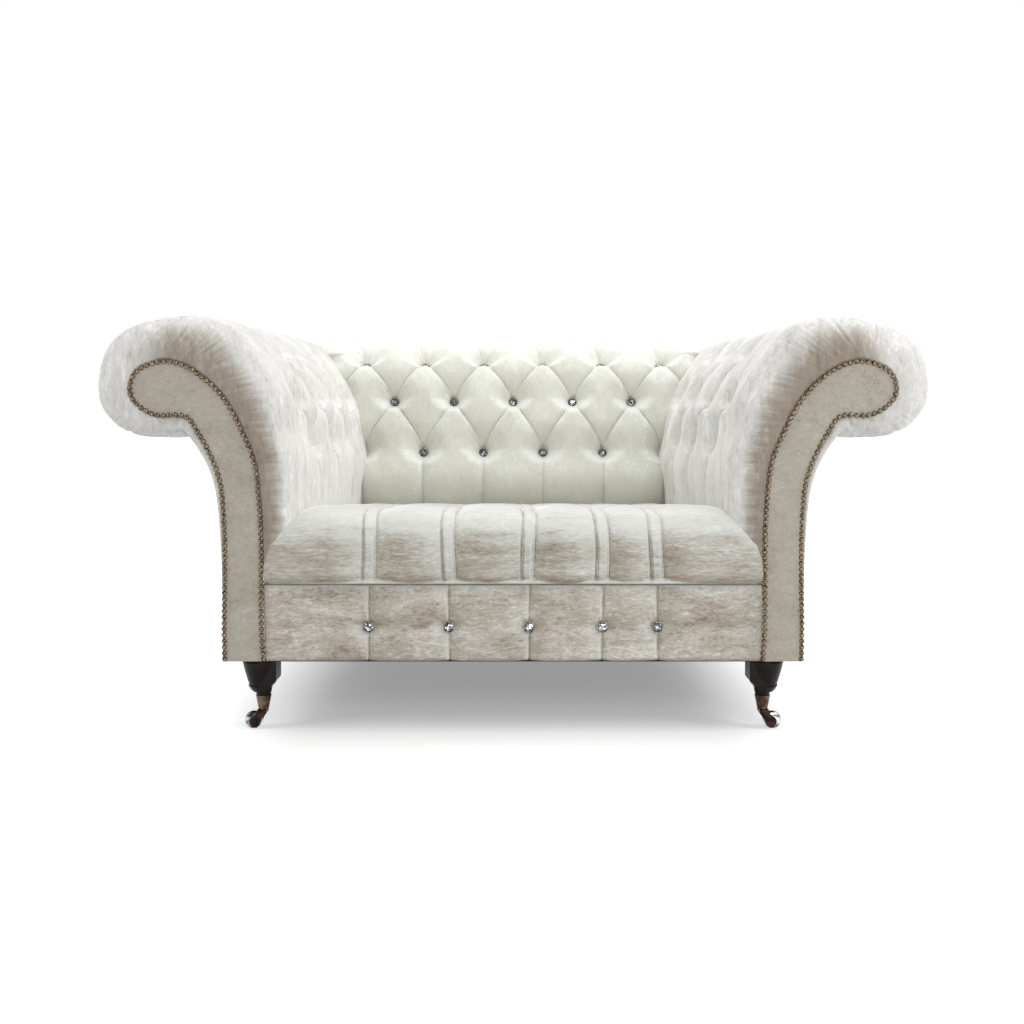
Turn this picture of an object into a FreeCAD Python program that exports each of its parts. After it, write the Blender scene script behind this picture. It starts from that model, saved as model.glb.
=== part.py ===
import FreeCAD, Part
import math
import os
import Sketcher

# A two-seat chesterfield sofa: a timber frame, springs, deep-buttoned upholstery with scroll arms,
# studded arm facings, and turned front legs on swivelling castors.
# Millimetres. +Z is up, the front faces -Y, and the origin is on the floor under the middle.

Vec = FreeCAD.Vector
LEFT, RIGHT = -1, 1
SIDES = {"left": LEFT, "right": RIGHT}

doc = FreeCAD.newDocument("chesterfield_sofa")
sheet = doc.addObject("Spreadsheet::Sheet", "Sizes")

DRIVING = [
    ("seat_width", 1040, "between the inner edges of the two arm facings"),
    ("overall_depth", 900, "front of the studs to the back of the rolled back"),
    ("leg_height", 150, "floor to the underside of the frame"),
    ("border_height", 162, "underside to the seam below the seat"),
    ("seat_rise", 156, "seam to the crest of the seat"),
    ("arm_height", 720, "underside to the top of arms and back"),
    ("board_margin", 4, "facing's inner line to the frame's inner line"),
    ("soft_gap", 0.3, "between upholstered pieces that lie side by side"),
    ("facing_thick", 10, "padded facing on the arm's front"),
    ("board_thick", 22, "plywood scroll boards"),
    ("rail_thick", 30, "base rails"),
    ("rail_height", 150, "base rails"),
    ("side_rail_in", 51, "seat edge to the side rail's inner face"),
    ("platform_thick", 6, "felted hessian over the springs"),
    ("tack_rail_tall", 45, "tack rails of arms and back"),
    ("tack_rail_rise", 28, "seam to the underside of the tack rails"),
    ("arm_tack_in", 25, "seat edge to the arm tack rail"),
    ("block_height", 40, "corner blocks"),
    ("block_depth", 60, "front corner blocks"),
    ("brace_thick", 30, "middle brace of the seat"),
    ("brace_height", 100, "middle brace of the seat"),
    ("former_thick", 6, "bent panel that the arm padding lies on"),
    ("scroll_rail_in", 165, "seat edge to the rail inside the scroll"),
    ("scroll_rail_drop", 110, "top of the arm to the rail inside the scroll"),
    ("scroll_rail_wide", 70, "rail inside the scroll"),
    ("scroll_rail_tall", 80, "rail inside the scroll"),
    ("stud_radius", 5.5, "domed upholstery studs"),
    ("stud_pitch", 12.4, "along the facing's edge"),
    ("stud_inset", 3, "facing's edge to the line of studs"),
    ("arm_roll", 70, "rounding of the arm's front edge"),
    ("arm_tuft_first", 160, "front to the first column of arm tufts"),
    ("tuft_depth", 44, "how deep a button is drawn in"),
    ("tuft_flat", 26, "flat at the bottom of a tuft"),
    ("tuft_margin", 34, "seat edge to the last column of back tufts"),
    ("back_face", 260, "rear of the sofa to the front of the back at the seat"),
    ("back_support", 172, "rear of the sofa to the plane that the back padding lies on"),
    ("back_row_low", 407, "underside to the lower row of back buttons"),
    ("back_row_high", 542, "underside to the upper row of back buttons"),
    ("rear_set", 30, "rear of the rolled back to the rear of the boards"),
    ("lining_thick", 4, "fabric-covered panel on the outside back"),
    ("post_thick", 45, "back posts"),
    ("post_foot", 10, "underside to the foot of a back post"),
    ("top_rail_drop", 157, "top of the back to the underside of its top rail"),
    ("strap_drop", 137, "top of the back to the top of the webbing"),
    ("strap_lap", 5, "lower edge of the tack rail to the end of the webbing"),
    ("top_rail_gap", 5, "arm padding to the end of the back's top rail"),
    ("post_in", 135, "seat edge inward to the outer face of a back post"),
    ("web_wide", 60, "webbing straps"),
    ("web_thick", 3, "webbing straps"),
    ("spring_wire", 4, "zigzag springs"),
    ("spring_wide", 44, "zigzag springs"),
    ("spring_inset", 220, "seat edge inward to the axis of the outermost spring"),
    ("clip_wide", 26, "clips that hold the springs' ends"),
    ("cover_thick", 1.2, "dust cover under the frame"),
    ("cover_reach", 78, "seat edge outward to the edge of the dust cover"),
    ("cover_inset", 12, "front and rear of the sofa to the edges of the dust cover"),
    ("border_thick", 20, "padding on the front rail"),
    ("border_set", 2.5, "stud fronts to the front of the border, beyond the studs"),
    ("pleat_wide", 30, "flat pleats on the seat's front"),
    ("pleat_deep", 4, "flat pleats on the seat's front"),
    ("seat_roll", 76, "rounding of the seat's front edge"),
    ("button_radius", 12, "crystal buttons with a metal rim"),
    ("button_tall", 4, "metal rim of a button"),
    ("button_lift", 4.5, "bottom of a tuft to the back of its button"),
    ("border_button_lift", 1.5, "bottom of a crease in the border to the back of its button"),
    ("crystal_radius", 9.2, "cut crystal"),
    ("crystal_tall", 5, "cut crystal"),
    ("border_button_rise", 71, "underside to the buttons on the border"),
    ("foot_out", 9, "seat edge outward to the axis of a front castor"),
    ("foot_set", 45, "front of the studs to the axis of a front castor"),
    ("bulb_shift", 6, "castor axis outward to the axis of the leg's bulb"),
    ("bulb_radius", 37.5, "widest part of a front leg"),
    ("shoulder_wide", 52, "square shoulder inside the leg"),
    ("shoulder_tall", 41, "square shoulder inside the leg"),
    ("ring_radius", 22, "turned ring above the castor"),
    ("neck_radius", 15.5, "leg where it enters the castor"),
    ("cup_top", 71.5, "floor to the top of the castor cup"),
    ("cup_bottom", 41.3, "floor to the bottom of the castor cup"),
    ("cup_foot_radius", 10.5, "cup at its bottom"),
    ("cup_wall", 1.8, "castor cup"),
    ("wheel_radius", 18.5, "castor wheel"),
    ("wheel_wide", 18, "castor wheel"),
    ("wheel_trail", 21, "swivel axis to the axle"),
    ("wheel_gap", 0.4, "wheel to fork cheek"),
    ("cheek_thick", 2.4, "fork cheeks"),
    ("axle_radius", 3, "castor axle"),
    ("pintle_radius", 4, "castor swivel pin"),
    ("running_gap", 0.05, "radial clearance of pins that turn"),
    ("swivel_gap", 0.3, "cup to fork"),
    ("bolt_radius", 4, "leg bolts"),
    ("bolt_gap", 0.1, "leg bolts"),
    ("bolt_grip", 35, "leg bolts, above and below the underside"),
    ("rear_leg_top", 26, "radius of a rear leg at the top"),
    ("rear_leg_foot", 17, "radius of a rear leg at the glide"),
    ("rear_leg_in", 21, "seat edge outward to the axis of a rear leg"),
    ("rear_leg_set", 72, "rear of the sofa to the axis of a rear leg"),
    ("glide_radius", 12, "nylon glide"),
    ("glide_tall", 5, "nylon glide"),
]

for row, (alias, value, note) in enumerate(DRIVING, start=1):
    sheet.set(f"A{row}", alias)
    sheet.set(f"B{row}", str(value))
    sheet.set(f"C{row}", note)
    sheet.setAlias(f"B{row}", alias)
doc.recompute()

SUB_PARTS = []


def size(alias):
    return float(getattr(sheet, alias))


def bound(text):
    """The expression with each name in brackets read from the sheet."""
    return text.replace("[", "Sizes.").replace("]", "")


def bind(thing, **expressions):
    for prop, text in expressions.items():
        thing.setExpression(prop, bound(text))
    return thing


def place(thing, across="0", along="0", up="0"):
    thing.setExpression(".Placement.Base.x", bound(across))
    thing.setExpression(".Placement.Base.y", bound(along))
    thing.setExpression(".Placement.Base.z", bound(up))
    return thing


def keep(thing, label):
    thing.Label = label
    SUB_PARTS.append(thing)
    return thing


def box(name, across, along, up, place_at):
    block = doc.addObject("Part::Box", name)
    bind(block, Length=across, Width=along, Height=up)
    return place(block, *place_at)


def rod(name, radius, tall, place_at, turn=None):
    piece = doc.addObject("Part::Cylinder", name)
    bind(piece, Radius=radius, Height=tall)
    if turn:
        piece.Placement.Rotation = turn
    return place(piece, *place_at)


def cut(name, base, tool):
    result = doc.addObject("Part::Cut", name)
    result.Base = base
    result.Tool = tool
    return result


def group(name, pieces):
    result = doc.addObject("Part::Compound", name)
    result.Links = pieces
    return result


def solid(name, shape, label=None):
    piece = doc.addObject("Part::Feature", name)
    piece.Shape = shape
    return keep(piece, label) if label else piece


# Lines that many pieces share, as expressions and as numbers. Heights of the scroll and the back
# were drawn for arms of DRAWN_HEIGHT and follow the arm's height.

FRONT = "-[overall_depth] / 2"
REAR = "[overall_depth] / 2"
INNER = "[seat_width] / 2 - [board_margin]"
FACING_FRONT = f"{FRONT} + [stud_radius]"
BOARD_BACK = f"{FACING_FRONT} + [facing_thick] + [board_thick]"
REAR_BOARD = f"{REAR} - [rear_set] - [board_thick]"
RAIL_FRONT = f"{FRONT} + [stud_radius] + [border_set] + [border_thick]"
SEAM = "[leg_height] + [border_height]"
RAIL_TOP = "[leg_height] + [rail_height]"
BACK_RAIL = f"{REAR} - [back_support] + [web_thick] + [post_thick]"
DRAWN_HEIGHT = 720
HEIGHT_SCALE = f"[arm_height] / {DRAWN_HEIGHT}"
TOP_RAIL_DROP = f"[top_rail_drop] * {HEIGHT_SCALE}"
STRAP_DROP = f"[strap_drop] * {HEIGHT_SCALE}"

half_seat = size("seat_width") / 2
inner_line = half_seat - size("board_margin")
front = -size("overall_depth") / 2
rear = size("overall_depth") / 2
underside = size("leg_height")
seam = underside + size("border_height")
arm_top = underside + size("arm_height")
facing_front = front + size("stud_radius")
facing_back = facing_front + size("facing_thick")
board_back = facing_back + size("board_thick")
board_end = rear - size("rear_set")
rear_board = board_end - size("board_thick")
gap = size("soft_gap")
height_scale = size("arm_height") / DRAWN_HEIGHT


# Scroll of the arm: points of the facing's edge, from the bottom inside, up, round and down outside.
# Each is a distance outside the seat's edge and a height, either above the underside or below the top.

SCROLL = [
    (0, "above", 0),
    (5, "above", 209),
    (13, "below", 350),
    (24, "below", 291),
    (45, "below", 242),
    (65, "below", 201),
    (92, "below", 161),
    (128, "below", 127),
    (164, "below", 104),
    (200, "below", 94),
    (232, "below", 98),
    (263, "below", 113),
    (279, "below", 147),
    (272, "below", 174),
    (245, "below", 197),
    (214, "below", 207),
    (182, "below", 205),
    (160, "below", 210),
    (142, "below", 233),
    (124, "below", 264),
    (106, "below", 301),
    (92, "below", 341),
    (85, "below", 395),
    (81, "above", 217),
    (81, "above", 0),
]
SCROLL_START = 2
SCROLL_END = 16
FACING_GROW = 3
PAD_GROW = 7.5
NECK = range(16, 25)
NECK_SWELL = [7, 14, 17, 18, 17, 16, 12, 8, 4.5]


def below_top(distance):
    """Height of a point that was drawn this far below the top of arms and back."""
    return arm_top - distance * height_scale


def scroll_height(kind, distance):
    return underside + distance if kind == "above" else below_top(distance)


def scroll_point(index, grow=0.0):
    """Point of the scroll's edge in X and Z, moved outward from the facing by grow."""
    across, kind, distance = SCROLL[index]
    before = SCROLL[max(index - 1, 0)]
    after = SCROLL[min(index + 1, len(SCROLL) - 1)]
    run = after[0] - before[0]
    rise = scroll_height(*after[1:]) - scroll_height(*before[1:])
    length = math.hypot(run, rise)
    return (
        half_seat + across - grow * rise / length,
        scroll_height(kind, distance) + grow * run / length,
    )


def spline(points):
    curve = Part.BSplineCurve()
    curve.interpolate(points)
    return curve.toShape()


def scroll_face(side, along, grow):
    """Flat face inside the scroll's edge."""
    ends = [Vec(side * (half_seat - grow), along, underside)]
    ends += [Vec(side * x, along, z) for x, z in (scroll_point(i, grow) for i in range(1, 24))]
    ends.append(Vec(side * (half_seat + SCROLL[-1][0] + grow), along, underside))
    edge = spline(ends)
    return Part.Face(Part.Wire([edge, Part.LineSegment(ends[-1], ends[0]).toShape()]))


def scroll_board(side, label, start, thick, grow):
    solid(label, scroll_face(side, start, grow).extrude(Vec(0, thick, 0)), label)


def studs(side, label):
    """Domed studs side by side along the facing's edge."""
    path = scroll_face(side, facing_front, FACING_GROW - size("stud_inset")).OuterWire.Edges[0]
    count = int(path.Length // size("stud_pitch"))
    start = size("stud_radius") / path.Length
    domes = []
    for i in range(count):
        share = start + (1 - 2 * start) * i / (count - 1)
        centre = path.valueAt(path.getParameterByLength(share * path.Length))
        domes.append(Part.makeSphere(size("stud_radius"), centre, Vec(0, -1, 0), 0, 90, 360))
    solid(label, Part.makeCompound(domes), label)


# Tufted padding: closed sections joined by ruled faces. Along a row of buttons, narrow flats at
# the buttons alternate with wide arcs, and towards the next row the two change places, so that
# the creases run as diamonds.


class Tufts:
    """Where the creases lie along a row, for rows of one kind and rows of the other."""

    def __init__(self, start, end, first, pitch, spaces, flat, open_ends):
        half = flat / 2
        outer = [first + pitch * k for k in range(spaces + 1)]
        inner = [first + pitch * (k + 0.5) for k in range(spaces)]
        self.outer_row = [c + s * half for c in outer for s in (-1, 1)]
        lead = first - pitch / 2 + half
        tail = outer[-1] + pitch / 2 - half
        self.inner_row = [lead] + [c + s * half for c in inner for s in (-1, 1)] + [tail]
        self.ends = (start, end)
        self.open_ends = open_ends

    def creases(self, shift):
        """Crease positions: shift 0 is a row with buttons at the outer places, 1 a row between."""
        ends = self.ends
        return [
            min(max(a + (b - a) * shift, ends[0] + 2), ends[1] - 2)
            for a, b in zip(self.outer_row, self.inner_row)
        ]


def arc_or_line(a, b, rise, up):
    """Edge from a to b that bulges by rise along up."""
    if rise < 0.2:
        return Part.LineSegment(a, b).toShape()
    limit = 0.42 * a.distanceToPoint(b)
    return Part.Arc(a, (a + b) / 2 + up * min(rise, limit), b).toShape()


def tuft_section(tufts, shift, depth, height, spot, up, front_round=None, rear_flat=None):
    """Closed section: height(u) is the padding's thickness, spot(u, v) a point in space."""
    creases = tufts.creases(shift)
    start, end = tufts.ends
    marks = [start] + creases + [end]
    last = len(marks) - 1
    drawn = []
    for i, u in enumerate(marks):
        at_end = i in (0, last) or (tufts.open_ends and shift > 0.9 and i in (1, last - 1))
        drawn.append(height(u) - (0 if at_end else depth))
    edges = []
    if front_round:
        low, nose, mid = front_round
        a, b = spot(low, nose), spot(marks[0], drawn[0])
        edges.append(Part.Arc(a, spot(*mid), b).toShape())
    for i in range(last):
        a, b = spot(marks[i], drawn[i]), spot(marks[i + 1], drawn[i + 1])
        middle = (marks[i] + marks[i + 1]) / 2
        wide = marks[i + 1] - marks[i]
        rise = height(middle) - (drawn[i] + drawn[i + 1]) / 2
        flat = wide < size("tuft_flat") + 1 or i in (0, last - 1)
        edges.append(arc_or_line(a, b, 0 if flat else rise, up))
    tail = [(marks[-1], drawn[-1])]
    if rear_flat:
        tail += rear_flat
    low = front_round[0] if front_round else start
    tail += [(tail[-1][0], 0.0), (low, 0.0)]
    points = [spot(*t) for t in tail]
    points.append(edges[0].Vertexes[0].Point)
    for a, b in zip(points, points[1:]):
        edges.append(Part.LineSegment(a, b).toShape())
    return Part.Wire(edges)


def bend(run, rise):
    """Middle of the arc that rises over a run and stays inside their box."""
    chord = math.hypot(run, rise)
    radius = chord**2 / (2 * min(run, rise))
    sag = radius - math.sqrt(radius**2 - (chord / 2) ** 2)
    return run / 2 - sag * rise / chord, rise / 2 + sag * run / chord


def ruled_solid(sections):
    shape = Part.makeLoft(sections, True, True)
    return shape if shape.Volume > 0 else shape.reversed()


# Arm padding

# One station for each point of the scroll's edge from SCROLL_START to SCROLL_END: outside surface
# at the rear as distance outside the seat's edge and height below the top, thickness near the
# front, crease share, and shift between kinds of rows
ARM_STATIONS = [
    ((-124, 344), 68, 0.45, 1),
    ((-115, 280), 76, 1.0, 1),
    ((-111, 232), 88, 0.62, 0.5),
    ((-93, 172), 105, 1.0, 0),
    ((-65, 122), 112, 0.62, 0.5),
    ((-20, 58), 118, 0.9, 1),
    ((60, 8), 118, 0.3, 1),
    ((140, 0), None, 0, 1),
    ((245, 15), None, 0, 1),
    ((318, 50), None, 0, 1),
    ((346.5, 130), None, 0, 1),
    ((331, 200), None, 0, 1),
    ((290, 236), None, 0, 1),
    ((222, 243), None, 0, 1),
    ((170, 241), None, 0, 1),
]
ARM_LOW = 59
ARM_LOW_REAR = 113
ARM_FLAT_TOP = 7
ARM_TUFT_SPACES = 3
ARM_TUFT_CLEAR = 30
ARM_REAR_ROUND = 26
ARM_NOSE = 3

back_face = rear - size("back_face")
arm_front_u = facing_front + 0.1
arm_full_u = arm_front_u + size("arm_roll")


def arm_tufts():
    first = front + size("arm_tuft_first")
    pitch = (back_face - ARM_TUFT_CLEAR - first) / ARM_TUFT_SPACES
    flat = size("tuft_flat")
    return Tufts(arm_full_u, back_face, first, pitch, ARM_TUFT_SPACES, flat, True)


def arm_section(side, foot, tip_front, tip_rear, turn, crease, shift):
    """Section of the arm's padding from its foot, in X and Z, outward along turn."""

    def height(u):
        share = (u - arm_full_u) / (back_face - arm_full_u)
        return tip_front + (tip_rear - tip_front) * min(max(share, 0.0), 1.0)

    def spot(u, v):
        return Vec(side * (foot[0] + turn[0] * v), u, foot[1] + turn[1] * v)

    over, out = bend(size("arm_roll"), tip_front - ARM_NOSE)
    round_front = (arm_front_u, ARM_NOSE, (arm_front_u + over, ARM_NOSE + out))
    flat_rear = [
        (board_end - ARM_REAR_ROUND, tip_rear),
        (board_end - ARM_REAR_ROUND / 4, tip_rear - ARM_REAR_ROUND / 3),
        (board_end, tip_rear * 0.5),
    ]
    depth = size("tuft_depth") * crease
    up = Vec(side * turn[0], 0, turn[1])
    return tuft_section(arm_tufts(), shift, depth, height, spot, up, round_front, flat_rear)


def arm_profile():
    """Feet and outer points of the padding, from the seat up and round the scroll."""
    flat_top = underside + size("border_height") + size("seat_rise") + ARM_FLAT_TOP
    rows = []
    for z in (seam, flat_top):
        rows.append(((inner_line, z), (inner_line - ARM_LOW_REAR, z), ARM_LOW, 0.0, 1))
    for index, station in enumerate(ARM_STATIONS, SCROLL_START):
        (across, drop), thick, crease, shift = station
        outer = (half_seat + across, below_top(drop))
        rows.append((scroll_point(index, PAD_GROW), outer, thick, crease, shift))
    return rows


def arm_face(z):
    """Inner side of the arm's padding at the back, at a height above the seat."""
    outers = [outer for foot, outer, *rest in arm_profile()]
    for (x, low), (next_x, high) in zip(outers, outers[1:]):
        if low <= z <= high:
            return x + (next_x - x) * (z - low) / (high - low)
    raise ValueError(f"no arm padding at {z}")


def arm_pad(side, label):
    sections = []
    for foot, outer, thick, crease, shift in arm_profile():
        reach = math.hypot(outer[0] - foot[0], outer[1] - foot[1])
        turn = ((outer[0] - foot[0]) / reach, (outer[1] - foot[1]) / reach)
        near = thick or reach
        sections.append(arm_section(side, foot, near, reach, turn, crease, shift))
    solid(label, ruled_solid(sections), label)


def arm_former(side, label):
    """Bent panel between the boards, under the padding."""
    thick = size("former_thick")
    flat_top = arm_profile()[1][0][1]
    outside = [(inner_line, seam), (inner_line, flat_top)]
    inside = [(inner_line + thick, seam), (inner_line + thick, flat_top)]
    for index in range(SCROLL_START, SCROLL_END + 1):
        outside.append(scroll_point(index, PAD_GROW))
        inside.append(scroll_point(index, PAD_GROW - thick))
    ring = outside + inside[::-1]
    points = [Vec(side * x, board_back, z) for x, z in ring]
    face = Part.Face(Part.makePolygon(points + points[:1]))
    solid(label, face.extrude(Vec(0, rear_board - board_back, 0)), label)


def outside_arm(side, label):
    """Lined panel down the neck of the arm, from under the scroll to the underside."""
    near = [scroll_point(i, FACING_GROW + gap) for i in NECK]
    far = [scroll_point(i, swell) for i, swell in zip(NECK, NECK_SWELL)]
    lower = Vec(side * near[-1][0], facing_back, underside)
    near_edge = spline([Vec(side * x, facing_back, z) for x, z in near[:-1]] + [lower])
    outer_low = Vec(side * far[-1][0], facing_back, underside)
    far_edge = spline([Vec(side * x, facing_back, z) for x, z in far[:-1]] + [outer_low])
    ends = [
        Part.LineSegment(near_edge.Vertexes[i].Point, far_edge.Vertexes[i].Point).toShape()
        for i in (0, 1)
    ]
    face = Part.Face(Part.Wire([near_edge, ends[1], far_edge, ends[0]]))
    solid(label, face.extrude(Vec(0, board_end - facing_back, 0)), label)


# Back padding

# Station: foot as distance in front of the rear and height, outer surface likewise, crease share
# and shift between kinds of rows. Heights are above the underside or below the top.
def back_stations():
    row_low = underside + size("back_row_low") * height_scale
    row_high = underside + size("back_row_high") * height_scale
    row_between = row_low + 68 * height_scale
    web = size("back_support")
    face = size("back_face")
    flat_top = seam + size("seat_rise") - 38
    crest = below_top(62)
    return [
        ((web, seam), (face, seam), 0.0, 0),
        ((web, flat_top), (face, flat_top), 0.0, 0),
        ((web, flat_top + 50), (face + 18, flat_top + 53), 0.5, 0),
        ((web, row_low), (face + 2, row_low), 1.0, 0),
        ((web, row_between), (face - 10, row_between), 0.62, 0.5),
        ((web, row_high), (face - 24, row_high + 4), 1.0, 1),
        ((web, below_top(137)), (face - 38, below_top(113)), 0.62, 0.5),
        ((web - 17, below_top(97)), (face - 62, below_top(56)), 0.9, 0),
        ((web - 34, below_top(70)), (face - 100, below_top(16)), 0.55, 0.5),
        ((web - 70, crest), (face - 158, arm_top), 0.3, 0.75),
        ((web - 97, crest), (face - 205, below_top(13)), 0.7, 1),
        ((web - 127, below_top(80)), (9, below_top(52)), 0.4, 1),
        ((web - 134, below_top(125)), (0, below_top(108)), 0.15, 1),
        ((web - 134, below_top(157)), (7, below_top(157)), 0.0, 1),
    ]


def back_pitch():
    spaces = 6
    return (size("seat_width") - 2 * size("tuft_margin")) / spaces


def back_tufts():
    pitch = back_pitch()
    half = half_seat + 40
    return Tufts(-half, half, -2.5 * pitch, pitch, 5, size("tuft_flat"), False)


def station_frame(station):
    foot, outer, crease, shift = station
    start = (rear - foot[0], foot[1])
    run = (rear - outer[0]) - start[0]
    rise = outer[1] - start[1]
    reach = math.hypot(run, rise)
    return start, (run / reach, rise / reach), reach


def back_section(station):
    start, turn, reach = station_frame(station)

    def spot(u, v):
        return Vec(u, start[0] + turn[0] * v, start[1] + turn[1] * v)

    depth = min(size("tuft_depth") * station[2], reach - 12)
    up = Vec(0, turn[0], turn[1])
    return tuft_section(back_tufts(), station[3], depth, lambda u: reach, spot, up)


def between_arms():
    """Space left between the arms' padding at the back, as a prism along Y."""
    points = []
    for foot, outer, *_ in arm_profile():
        if outer[1] <= arm_top - gap and outer[0] < half_seat + 100:
            points.append((outer[0] - gap, outer[1]))
    points[0] = (points[0][0], points[0][1] - 1)
    across, high = points[-1]
    points.append((across + 40, high + 40))
    right = [Vec(x, 0, z) for x, z in points]
    left = [Vec(-x, 0, z) for x, z in reversed(points)]
    ring = right + left
    face = Part.Face(Part.makePolygon(ring + ring[:1]))
    return face.extrude(Vec(0, rear + 10, 0))


def back_pad():
    sections = [back_section(station) for station in back_stations()]
    solid("back_pad", ruled_solid(sections).common(between_arms()), "back_pad")


# Seat and border

# Places of the pleats and of the border's buttons, from the middle as shares of half the seat:
# the photographed ones are uneven, as sewn by hand
PLEAT_SHARES = [-0.581, -0.258, 0.065, 0.36, 0.581]
pleat_places = [share * half_seat for share in PLEAT_SHARES]


def loft_yz(sections):
    """Ruled solid through closed sections in planes across X, each a list of edges' points."""
    wires = []
    for across, edges in sections:
        shapes = []
        for points in edges:
            ends = [Vec(across, y, z) for y, z in points]
            if len(ends) == 3:
                shapes.append(Part.Arc(*ends).toShape())
            else:
                shapes.append(Part.LineSegment(*ends).toShape())
        wires.append(Part.Wire(shapes))
    return ruled_solid(wires)


def seat_section(across, drop, back_off):
    """Section of the seat: drop lowers its crest, back_off draws in its front."""
    nose = front + 4 + back_off
    crest = seam + size("seat_rise") - 2 - drop
    roll = size("seat_roll")
    end = back_face - gap
    low = (nose + 3, seam)
    belly = (nose, crest - roll)
    top = (nose + roll, crest)
    tail = (end, seam + size("seat_rise") - 43 - drop * 0.3)
    over, out = bend(roll, roll)
    shoulder = (nose + over, belly[1] + out)
    crown = ((top[0] + tail[0]) / 2 - 60, (top[1] + tail[1]) / 2 + 14)
    base = (end, seam)
    bulge = (nose - 1, (low[1] + belly[1]) / 2)
    return across, [
        (low, bulge, belly),
        (belly, shoulder, top),
        (top, crown, tail),
        (tail, base),
        (base, low),
    ]


def pleat_stops(limit, side_drop):
    """Places across the seat: (across, drop of the crest, recess)."""
    half = size("pleat_wide") / 2
    deep = size("pleat_deep")
    stops = [(-limit, side_drop, 7.0), (-limit + 60, 6.0, 2.0)]
    for middle in pleat_places:
        stops += [
            (middle - half - deep, 0.0, 0.0),
            (middle - half, 0.0, deep),
            (middle + half, 0.0, deep),
            (middle + half + deep, 0.0, 0.0),
        ]
    stops += [(limit - 60, 6.0, 2.0), (limit, side_drop, 7.0)]
    return stops


def seat_outline(clear):
    """Space between the arms at the seat, seen from above, as a prism."""
    tip = inner_line - ARM_LOW
    over, out = bend(size("arm_roll"), ARM_LOW - ARM_NOSE)
    front_x = inner_line - ARM_NOSE
    rear_x = inner_line - ARM_LOW_REAR
    edges = []
    for side in (RIGHT, LEFT):

        def at(x, y):
            return Vec(side * (x - clear), y, 0)

        corner = at(front_x, front - 10)
        start = at(front_x, arm_front_u)
        middle = at(front_x - out, arm_front_u + over)
        full = at(tip, arm_full_u)
        back = at(rear_x, back_face)
        edges.append(Part.LineSegment(corner, start).toShape())
        edges.append(Part.Arc(start, middle, full).toShape())
        edges.append(Part.LineSegment(full, back).toShape())
    rear_x -= clear
    front_x -= clear
    edges.append(Part.LineSegment(Vec(rear_x, back_face, 0), Vec(-rear_x, back_face, 0)).toShape())
    nose_line = Part.LineSegment(Vec(-front_x, front - 10, 0), Vec(front_x, front - 10, 0))
    edges.append(nose_line.toShape())
    face = Part.Face(Part.Wire(Part.__sortEdges__(edges)))
    return face.extrude(Vec(0, 0, arm_top))


def seat_pad():
    stops = pleat_stops(inner_line, 30.0)
    shape = loft_yz([seat_section(*stop) for stop in stops])
    solid("seat_pad", shape.common(seat_outline(gap)), "seat_pad")


def border_section(across, recess):
    face = facing_front + size("border_set") + recess
    end = facing_front + size("border_set") + size("border_thick")
    top = seam - gap
    low = (face + 3, underside)
    high = (face + 3, top)
    middle = (face, (underside + top) / 2)
    return across, [(low, middle, high), (high, (end, top)), ((end, top), (end, underside)),
                    ((end, underside), low)]


def border_pad():
    half = size("pleat_wide") / 2
    limit = inner_line - gap
    sections = [border_section(-limit, 3.0), border_section(-limit + 30, 0.0)]
    for middle in pleat_places:
        sections.append(border_section(middle - half, 0.0))
        sections.append(border_section(middle, size("pleat_deep") + 1))
        sections.append(border_section(middle + half, 0.0))
    sections += [border_section(limit - 30, 0.0), border_section(limit, 3.0)]
    solid("border_pad", loft_yz(sections), "border_pad")


# Buttons

CRYSTAL_SIDES = 12
CRYSTAL_TABLE = 0.6
RIM = 0.8


def button_pair(centre, outward):
    """Metal setting and cut crystal of one button, standing on centre."""
    tall = size("button_tall")
    seat = size("crystal_radius") + 0.1
    setting = Part.makeCylinder(size("button_radius"), tall, centre, outward)
    hollow = Part.makeCylinder(seat, tall, centre + outward * (tall * 0.4), outward)
    setting = setting.cut(hollow)
    turn = FreeCAD.Rotation(Vec(0, 0, 1), outward)
    rings = []
    for radius, lift in (
        (size("crystal_radius") * RIM, tall * 0.4),
        (size("crystal_radius"), tall * 0.4 + 1.6),
        (size("crystal_radius") * CRYSTAL_TABLE, tall * 0.4 + size("crystal_tall")),
    ):
        ring = []
        for i in range(CRYSTAL_SIDES + 1):
            angle = 2 * math.pi * i / CRYSTAL_SIDES
            spoke = Vec(radius * math.cos(angle), radius * math.sin(angle), lift)
            ring.append(centre + turn.multVec(spoke))
        rings.append(Part.makePolygon(ring))
    return setting, ruled_solid(rings)


def button_nodes(stem, spots):
    pairs = [button_pair(centre, outward) for centre, outward in spots]
    for part, kind in enumerate(("settings", "crystals")):
        label = f"{stem}_button_{kind}"
        solid(label, Part.makeCompound([pair[part] for pair in pairs]), label)


def back_button_spots():
    """Buttons at the flats of the lower, upper and top rows."""
    pitch = back_pitch()
    stations = back_stations()
    spots = []
    for index, places in ((3, (-1.5, -0.5, 0.5, 1.5)), (5, (-2, -1, 0, 1, 2)),
                          (7, (-2.5, -1.5, -0.5, 0.5, 1.5, 2.5))):
        station = stations[index]
        start, turn, reach = station_frame(station)
        depth = min(size("tuft_depth") * station[2], reach - 12)
        lift = reach - depth + size("button_lift")
        for place_at in places:
            centre = Vec(place_at * pitch, start[0] + turn[0] * lift, start[1] + turn[1] * lift)
            spots.append((centre, Vec(0, turn[0], turn[1])))
    return spots


def border_button_spots():
    crease = size("pleat_deep") + 1
    face = facing_front + size("border_set") + crease - size("border_button_lift")
    z = underside + size("border_button_rise")
    return [(Vec(x, face, z), Vec(0, -1, 0)) for x in pleat_places]


# Frame

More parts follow.
